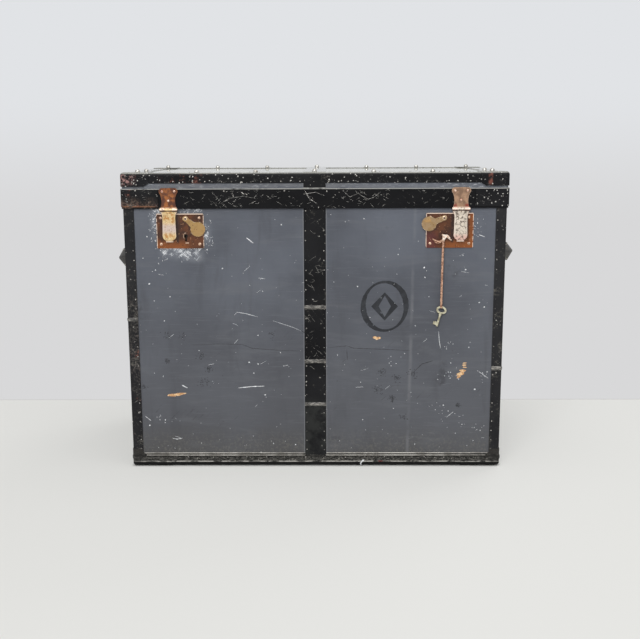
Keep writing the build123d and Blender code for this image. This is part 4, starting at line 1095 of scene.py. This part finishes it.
def grip_share(y):
    """How much of its full section the grip has at y: 0 at its ends, and 1 in the middle."""
    return (1 + math.cos(math.pi * min(abs(y), HANDLE_HALF_SPAN) / HANDLE_HALF_SPAN)) / 2


def grip_outline(share, spread):
    """The grip's section, round at its ends (share 0) and ridged in the middle (share 1)."""
    width = share ** 0.8
    corners = (
        (HANDLE_RIDGE, 0, 0), (HANDLE_EDGE, HANDLE_DEPTH, 80), (-HANDLE_EDGE, HANDLE_DEPTH, 100),
        (-HANDLE_BELLY, 0, 180), (-HANDLE_EDGE, -HANDLE_DEPTH, 260), (HANDLE_EDGE, -HANDLE_DEPTH, 280),
        (HANDLE_RIDGE, 0, 360),
    )
    outline = []
    for (out_a, up_a, turn_a), (out_b, up_b, turn_b) in zip(corners, corners[1:]):
        for part in spread:
            turn = math.radians(turn_a + (turn_b - turn_a) * part)
            ridged = (out_a + (out_b - out_a) * part, up_a + (up_b - up_a) * part)
            rounded = (HANDLE_END * math.cos(turn), HANDLE_END * math.sin(turn))
            outline.append([r * width + c * (1 - width) for r, c in zip(ridged, rounded)])
    return outline


def place_on_grip(hang, y, out, up):
    """A point of the grip's section at y, as the handle hangs at rest."""
    hand, pivot, bow, droop, tilt = hang
    bow, lean = bow * grip_share(y), tilt * grip_share(y)
    x = bow * math.cos(droop) + out * math.cos(lean) - up * math.sin(lean)
    z = -bow * math.sin(droop) + out * math.sin(lean) + up * math.cos(lean)
    return Vector((hand * (pivot.x + x), y, pivot.z + z))


def moulded_grip(mesh, hang):
    knob = ((-KNOB_END, KNOB_SWELL), (-KNOB_START, KNOB_SWELL))
    ends = (*knob, (-KNOB_START, 1), (-STALK_START, 1))
    stations = [(HANDLE_HALF_SPAN * (n / 20 - 1), 1) for n in range(41)]
    rings = []
    for y, swell in (*ends, *stations, *[(-y, swell) for y, swell in reversed(ends)]):
        outline = grip_outline(grip_share(y), SECTION_SPREAD)
        points = [place_on_grip(hang, y, out * swell, up * swell) for out, up in outline]
        rings.append([mesh.verts.new(point) for point in points])
    skin(mesh, rings)


def grip_stitches(mesh, hang):
    """A row of thread on each face of the grip, 4 mm in from its edges."""
    for corner, step_in in ((0, 0.84), (5, 0.16), (2, 0.17), (3, 0.83)):
        for n in range(round(2 * STITCHED_HALF / STITCH_GAP)):
            line = []
            for end in (-STITCH_HALF, 0, STITCH_HALF):
                y = -STITCHED_HALF + STITCH_GAP * n + end
                out, up = grip_outline(grip_share(y), (step_in,))[corner]
                proud = 1 + (0.0006 if end == 0 else 0.0002) / math.hypot(out, up)
                line.append(place_on_grip(hang, y, out * proud, up * proud))
            tube(mesh, line, STITCH_RADIUS, 5)


LEATHER = harness_leather()
THREAD = stitch_thread()
cap_low, cap_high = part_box("handle_caps_right")
pivot = Vector((cap_low.x + PIVOT_IN_CAP, 0, (cap_low.z + cap_high.z) / 2))
for side, hand, bow, droop, tilt in (("left", -1, 0.0409, 25, -4), ("right", 1, 0.0326, 7.8, 4.5)):
    node = f"handle_{side}"
    hang = (hand, pivot, bow, math.radians(droop), math.radians(tilt))
    grip = bmesh.new()
    moulded_grip(grip, hang)
    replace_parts(piece(f"leather_grip_{side}", grip, LEATHER, node), node)
    sewing = bmesh.new()
    grip_stitches(sewing, hang)
    piece(f"grip_stitches_{side}", sewing, THREAD, node)

# ---- Key cord ----
# Buff linen twine, laid up from three strands. It comes out of the right keyhole, is knotted there
# with two frayed ends, and carries the key.

TWINE_EXIT = (0.273, -0.203, 0.5125)
TWINE_POINTS = (TWINE_EXIT, (0.273, -0.215, 0.5125), (0.2708, -0.215, 0.5005), (0.2698, -0.215, 0.3575))
TWINE_DIAMETER = 0.005
TWINE_GAP = 0.0012
STRAND_RADIUS = 0.0013
LAY_RADIUS = TWINE_DIAMETER / 2 - STRAND_RADIUS
LAY_PITCH = 0.0105
KNOT_MIDDLE = (0.2735, -0.2152, 0.5085)
KNOT_SIZE = 0.00125
TAIL_GAP = 0.001
TAIL_RADIUS = 0.0018
# The control points of each loose strand in the knot's two frayed ends.
TAILS = (
    ((0.2685, -0.215, 0.5145), (0.2735, -0.2165, 0.5125), (0.281, -0.2165, 0.5085),
     (0.2885, -0.2135, 0.5025)),
    ((0.2735, -0.215, 0.5125), (0.2785, -0.216, 0.5135), (0.2825, -0.2155, 0.5105), (0.285, -0.214, 0.5075)),
    ((0.2725, -0.2155, 0.5055), (0.266, -0.2172, 0.4995), (0.256, -0.2175, 0.501), (0.2485, -0.2174, 0.506)),
    ((0.2705, -0.215, 0.5025), (0.263, -0.2165, 0.4965), (0.2555, -0.2174, 0.4975),
     (0.2525, -0.2174, 0.501)),
)


def smooth_line(name, places, gap):
    """Evenly spaced points along one spline that has these places as its control points."""
    curve = bpy.data.curves.new(name, "CURVE")
    curve.dimensions = "3D"
    spline = curve.splines.new("NURBS")
    spline.points.add(len(places) - 1)
    for point, place in zip(spline.points, places):
        point.co = (*place, 1)
    spline.order_u = 3
    spline.use_endpoint_u = True
    spline.resolution_u = 16
    line = bpy.data.objects.new(name, curve)
    bpy.context.scene.collection.objects.link(line)
    bpy.context.view_layer.update()
    mesh = bpy.data.meshes.new_from_object(line)
    points = [vertex.co.copy() for vertex in mesh.vertices]
    bpy.data.meshes.remove(mesh)
    bpy.data.objects.remove(line)
    spaced, left = [points[0]], 0
    for start, end in zip(points, points[1:]):
        length = (end - start).length
        travel = gap - left
        while travel < length:
            spaced.append(start.lerp(end, travel / length))
            travel += gap
        left = length - (travel - gap)
    return spaced + [points[-1]]


def linen_twine():
    """Pinkish buff, and paler where the knot and its right-hand end have frayed."""
    paint = Finish("linen_twine", 218, 176, 148)
    x, _, z = paint.place()
    tone = paint.patch(0.42, 0.60, 260, 5, 0.7)
    paint.coat(128, 84, 64, tone)
    frayed = over(tint(252, 242, 230), tint(214, 178, 152), tone)
    paint.colour = over(paint.colour, frayed, step(x, 0.2660, 0.2710) * step(z, 0.4990, 0.5030))
    return paint.close(0.85, paint.cloud(900), 0.0006)


def strand_path(start_turn):
    """One strand's way round the twine's middle line."""
    side = Vector((1, 0, 0))
    path = []
    for place, spot in enumerate(twine_line):
        up = heading(twine_line, place).cross(side)
        turn = start_turn + math.tau * place * TWINE_GAP / LAY_PITCH
        path.append(spot + LAY_RADIUS * (side * math.cos(turn) + up * math.sin(turn)))
    return path


def knot_loop(middle, size):
    """An overhand knot's line: a trefoil, flattened towards the lock plate."""
    path = []
    for turn in [math.tau * n / 72 for n in range(72)]:
        x, z = math.sin(turn) + 2 * math.sin(2 * turn), math.cos(turn) - 2 * math.cos(2 * turn)
        path.append(middle + size * Vector((x, -math.sin(3 * turn) * 0.8, z)))
    return path


TWINE = linen_twine()
twine_line = smooth_line("twine_route", TWINE_POINTS, TWINE_GAP)
strands = bmesh.new()
for share in (0, 1 / 3, 2 / 3):
    tube(strands, strand_path(math.tau * share), STRAND_RADIUS)
twine = piece("key_twine", strands, TWINE, "body")
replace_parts(twine, "key_cord")

loops = bmesh.new()
tube(loops, knot_loop(Vector(KNOT_MIDDLE), KNOT_SIZE), STRAND_RADIUS, closed=True)
for n, places in enumerate(TAILS):
    line = smooth_line(f"tail_{n}", places, TAIL_GAP)
    tube(loops, line, lambda share: TAIL_RADIUS + (STRAND_RADIUS - TAIL_RADIUS) * share)
knot = piece("twine_knot", loops, TWINE, "body")

# ---- Studio ----
# The trunk stands on a pale floor, with a pale wall behind it. A large soft lamp in front and two
# weaker ones above and behind leave only faint shadows.

FLOOR_REACH = 6.0
WALL_FOOT = 0.33


def floor_paint():
    """A floor that turns into wall behind the trunk, as seen by the camera, with a painted shade line where
    they meet.
    """
    paint = Finish("studio_floor")
    at, (x, y, _) = paint.at, paint.place()
    plain = at.node("BsdfDiffuse", sockets={"Color": tint(219, 219, 216)})
    lit = at.node("Emission", sockets={"Color": tint(224, 224, 221)})
    # A painted shade line along the crease between floor and wall.
    crease = between(y, WALL_FOOT - 0.004, WALL_FOOT + 0.006, 0.003)
    wall = at.node("Emission", sockets={"Color": over(tint(216, 216, 217), tint(203, 202, 200), crease)})
    seen = at.node("LightPath", output="Is Camera Ray")
    under = between(x, -0.410, 0.410, 0.004) * between(y, -0.212, 0.212, 0.003)
    floor = at.node("MixShader", sockets={0: seen * (1 - under) * 0.5, 1: plain, 2: lit})
    beyond = step(y, WALL_FOOT - 0.004, WALL_FOOT + 0.004)
    both = at.node("MixShader", sockets={0: beyond * seen, 1: floor, 2: wall})
    at.node("OutputMaterial", sockets={"Surface": both})
    return paint.material


floor_mesh = bpy.data.meshes.new("studio_floor")
floor_corners = [(a * FLOOR_REACH, b * FLOOR_REACH, 0) for a, b in ((-1, -1), (1, -1), (1, 1), (-1, 1))]
floor_mesh.from_pydata(floor_corners, [], [(0, 1, 2, 3)])
floor_mesh.update()
floor_mesh.materials.append(floor_paint())
floor = bpy.data.objects.new("studio_floor", floor_mesh)
bpy.context.scene.collection.objects.link(floor)

world = bpy.data.worlds.new("studio")
bpy.context.scene.world = world
world.use_nodes = True
world.node_tree.nodes.clear()
sky = Wire(world.node_tree)
rays = [sky.node("LightPath", output=f"Is {kind} Ray") for kind in ("Camera", "Glossy", "Transmission")]
height = part_of(sky.node("TexCoord", output="Generated"), "Z")
pale = over(tint(216, 216, 217), tint(225, 227, 230), step(height, -0.09, 0.06))
lit = sky.node("Background", sockets={"Color": tint(255, 255, 255), "Strength": 0.3})
shown = sky.node("Background", sockets={"Color": pale, "Strength": 1})
mixed = sky.node("MixShader", sockets={0: step(rays[0] + rays[1] + rays[2], 0, 1), 1: lit, 2: shown})
sky.node("OutputWorld", sockets={"Surface": mixed})


def soft_lamp(name, place, target, size, power, glossy=True):
    lamp = bpy.data.lights.new(name, "AREA")
    lamp.size = size
    lamp.energy = power
    holder = bpy.data.objects.new(name, lamp)
    holder.location = place
    holder.rotation_euler = (Vector(target) - Vector(place)).to_track_quat("-Z", "Y").to_euler()
    holder.visible_camera = False
    holder.visible_glossy = glossy
    bpy.context.scene.collection.objects.link(holder)


soft_lamp("front_softbox", (-1.1, -5.1, 4.2), (0, 0, 0.3), 3.5, 255)
soft_lamp("overhead_softbox", (0.3, -0.6, 3.6), (0, 0, 0), 3, 60)
soft_lamp("back_softbox", (3.4, 3.8, 2.8), (0, 0, 0.3), 3.5, 100, glossy=False)

CAMERA_PLACE = (0.0298, -2.1565, 0.7035)
YAW, PITCH, ROLL = 0.57, 10.81, 0.215
lens = bpy.data.cameras.new("studio_camera")
lens.sensor_width = 36
lens.lens = 51.75
camera = bpy.data.objects.new("studio_camera", lens)
camera.matrix_world = Matrix.Translation(CAMERA_PLACE)
for angle, axis in ((YAW, "Z"), (90 - PITCH, "X"), (-ROLL, "Z")):
    camera.matrix_world = camera.matrix_world @ Matrix.Rotation(math.radians(angle), 4, axis)
bpy.context.scene.collection.objects.link(camera)
bpy.context.scene.camera = camera
bpy.context.scene.view_settings.view_transform = "Standard"
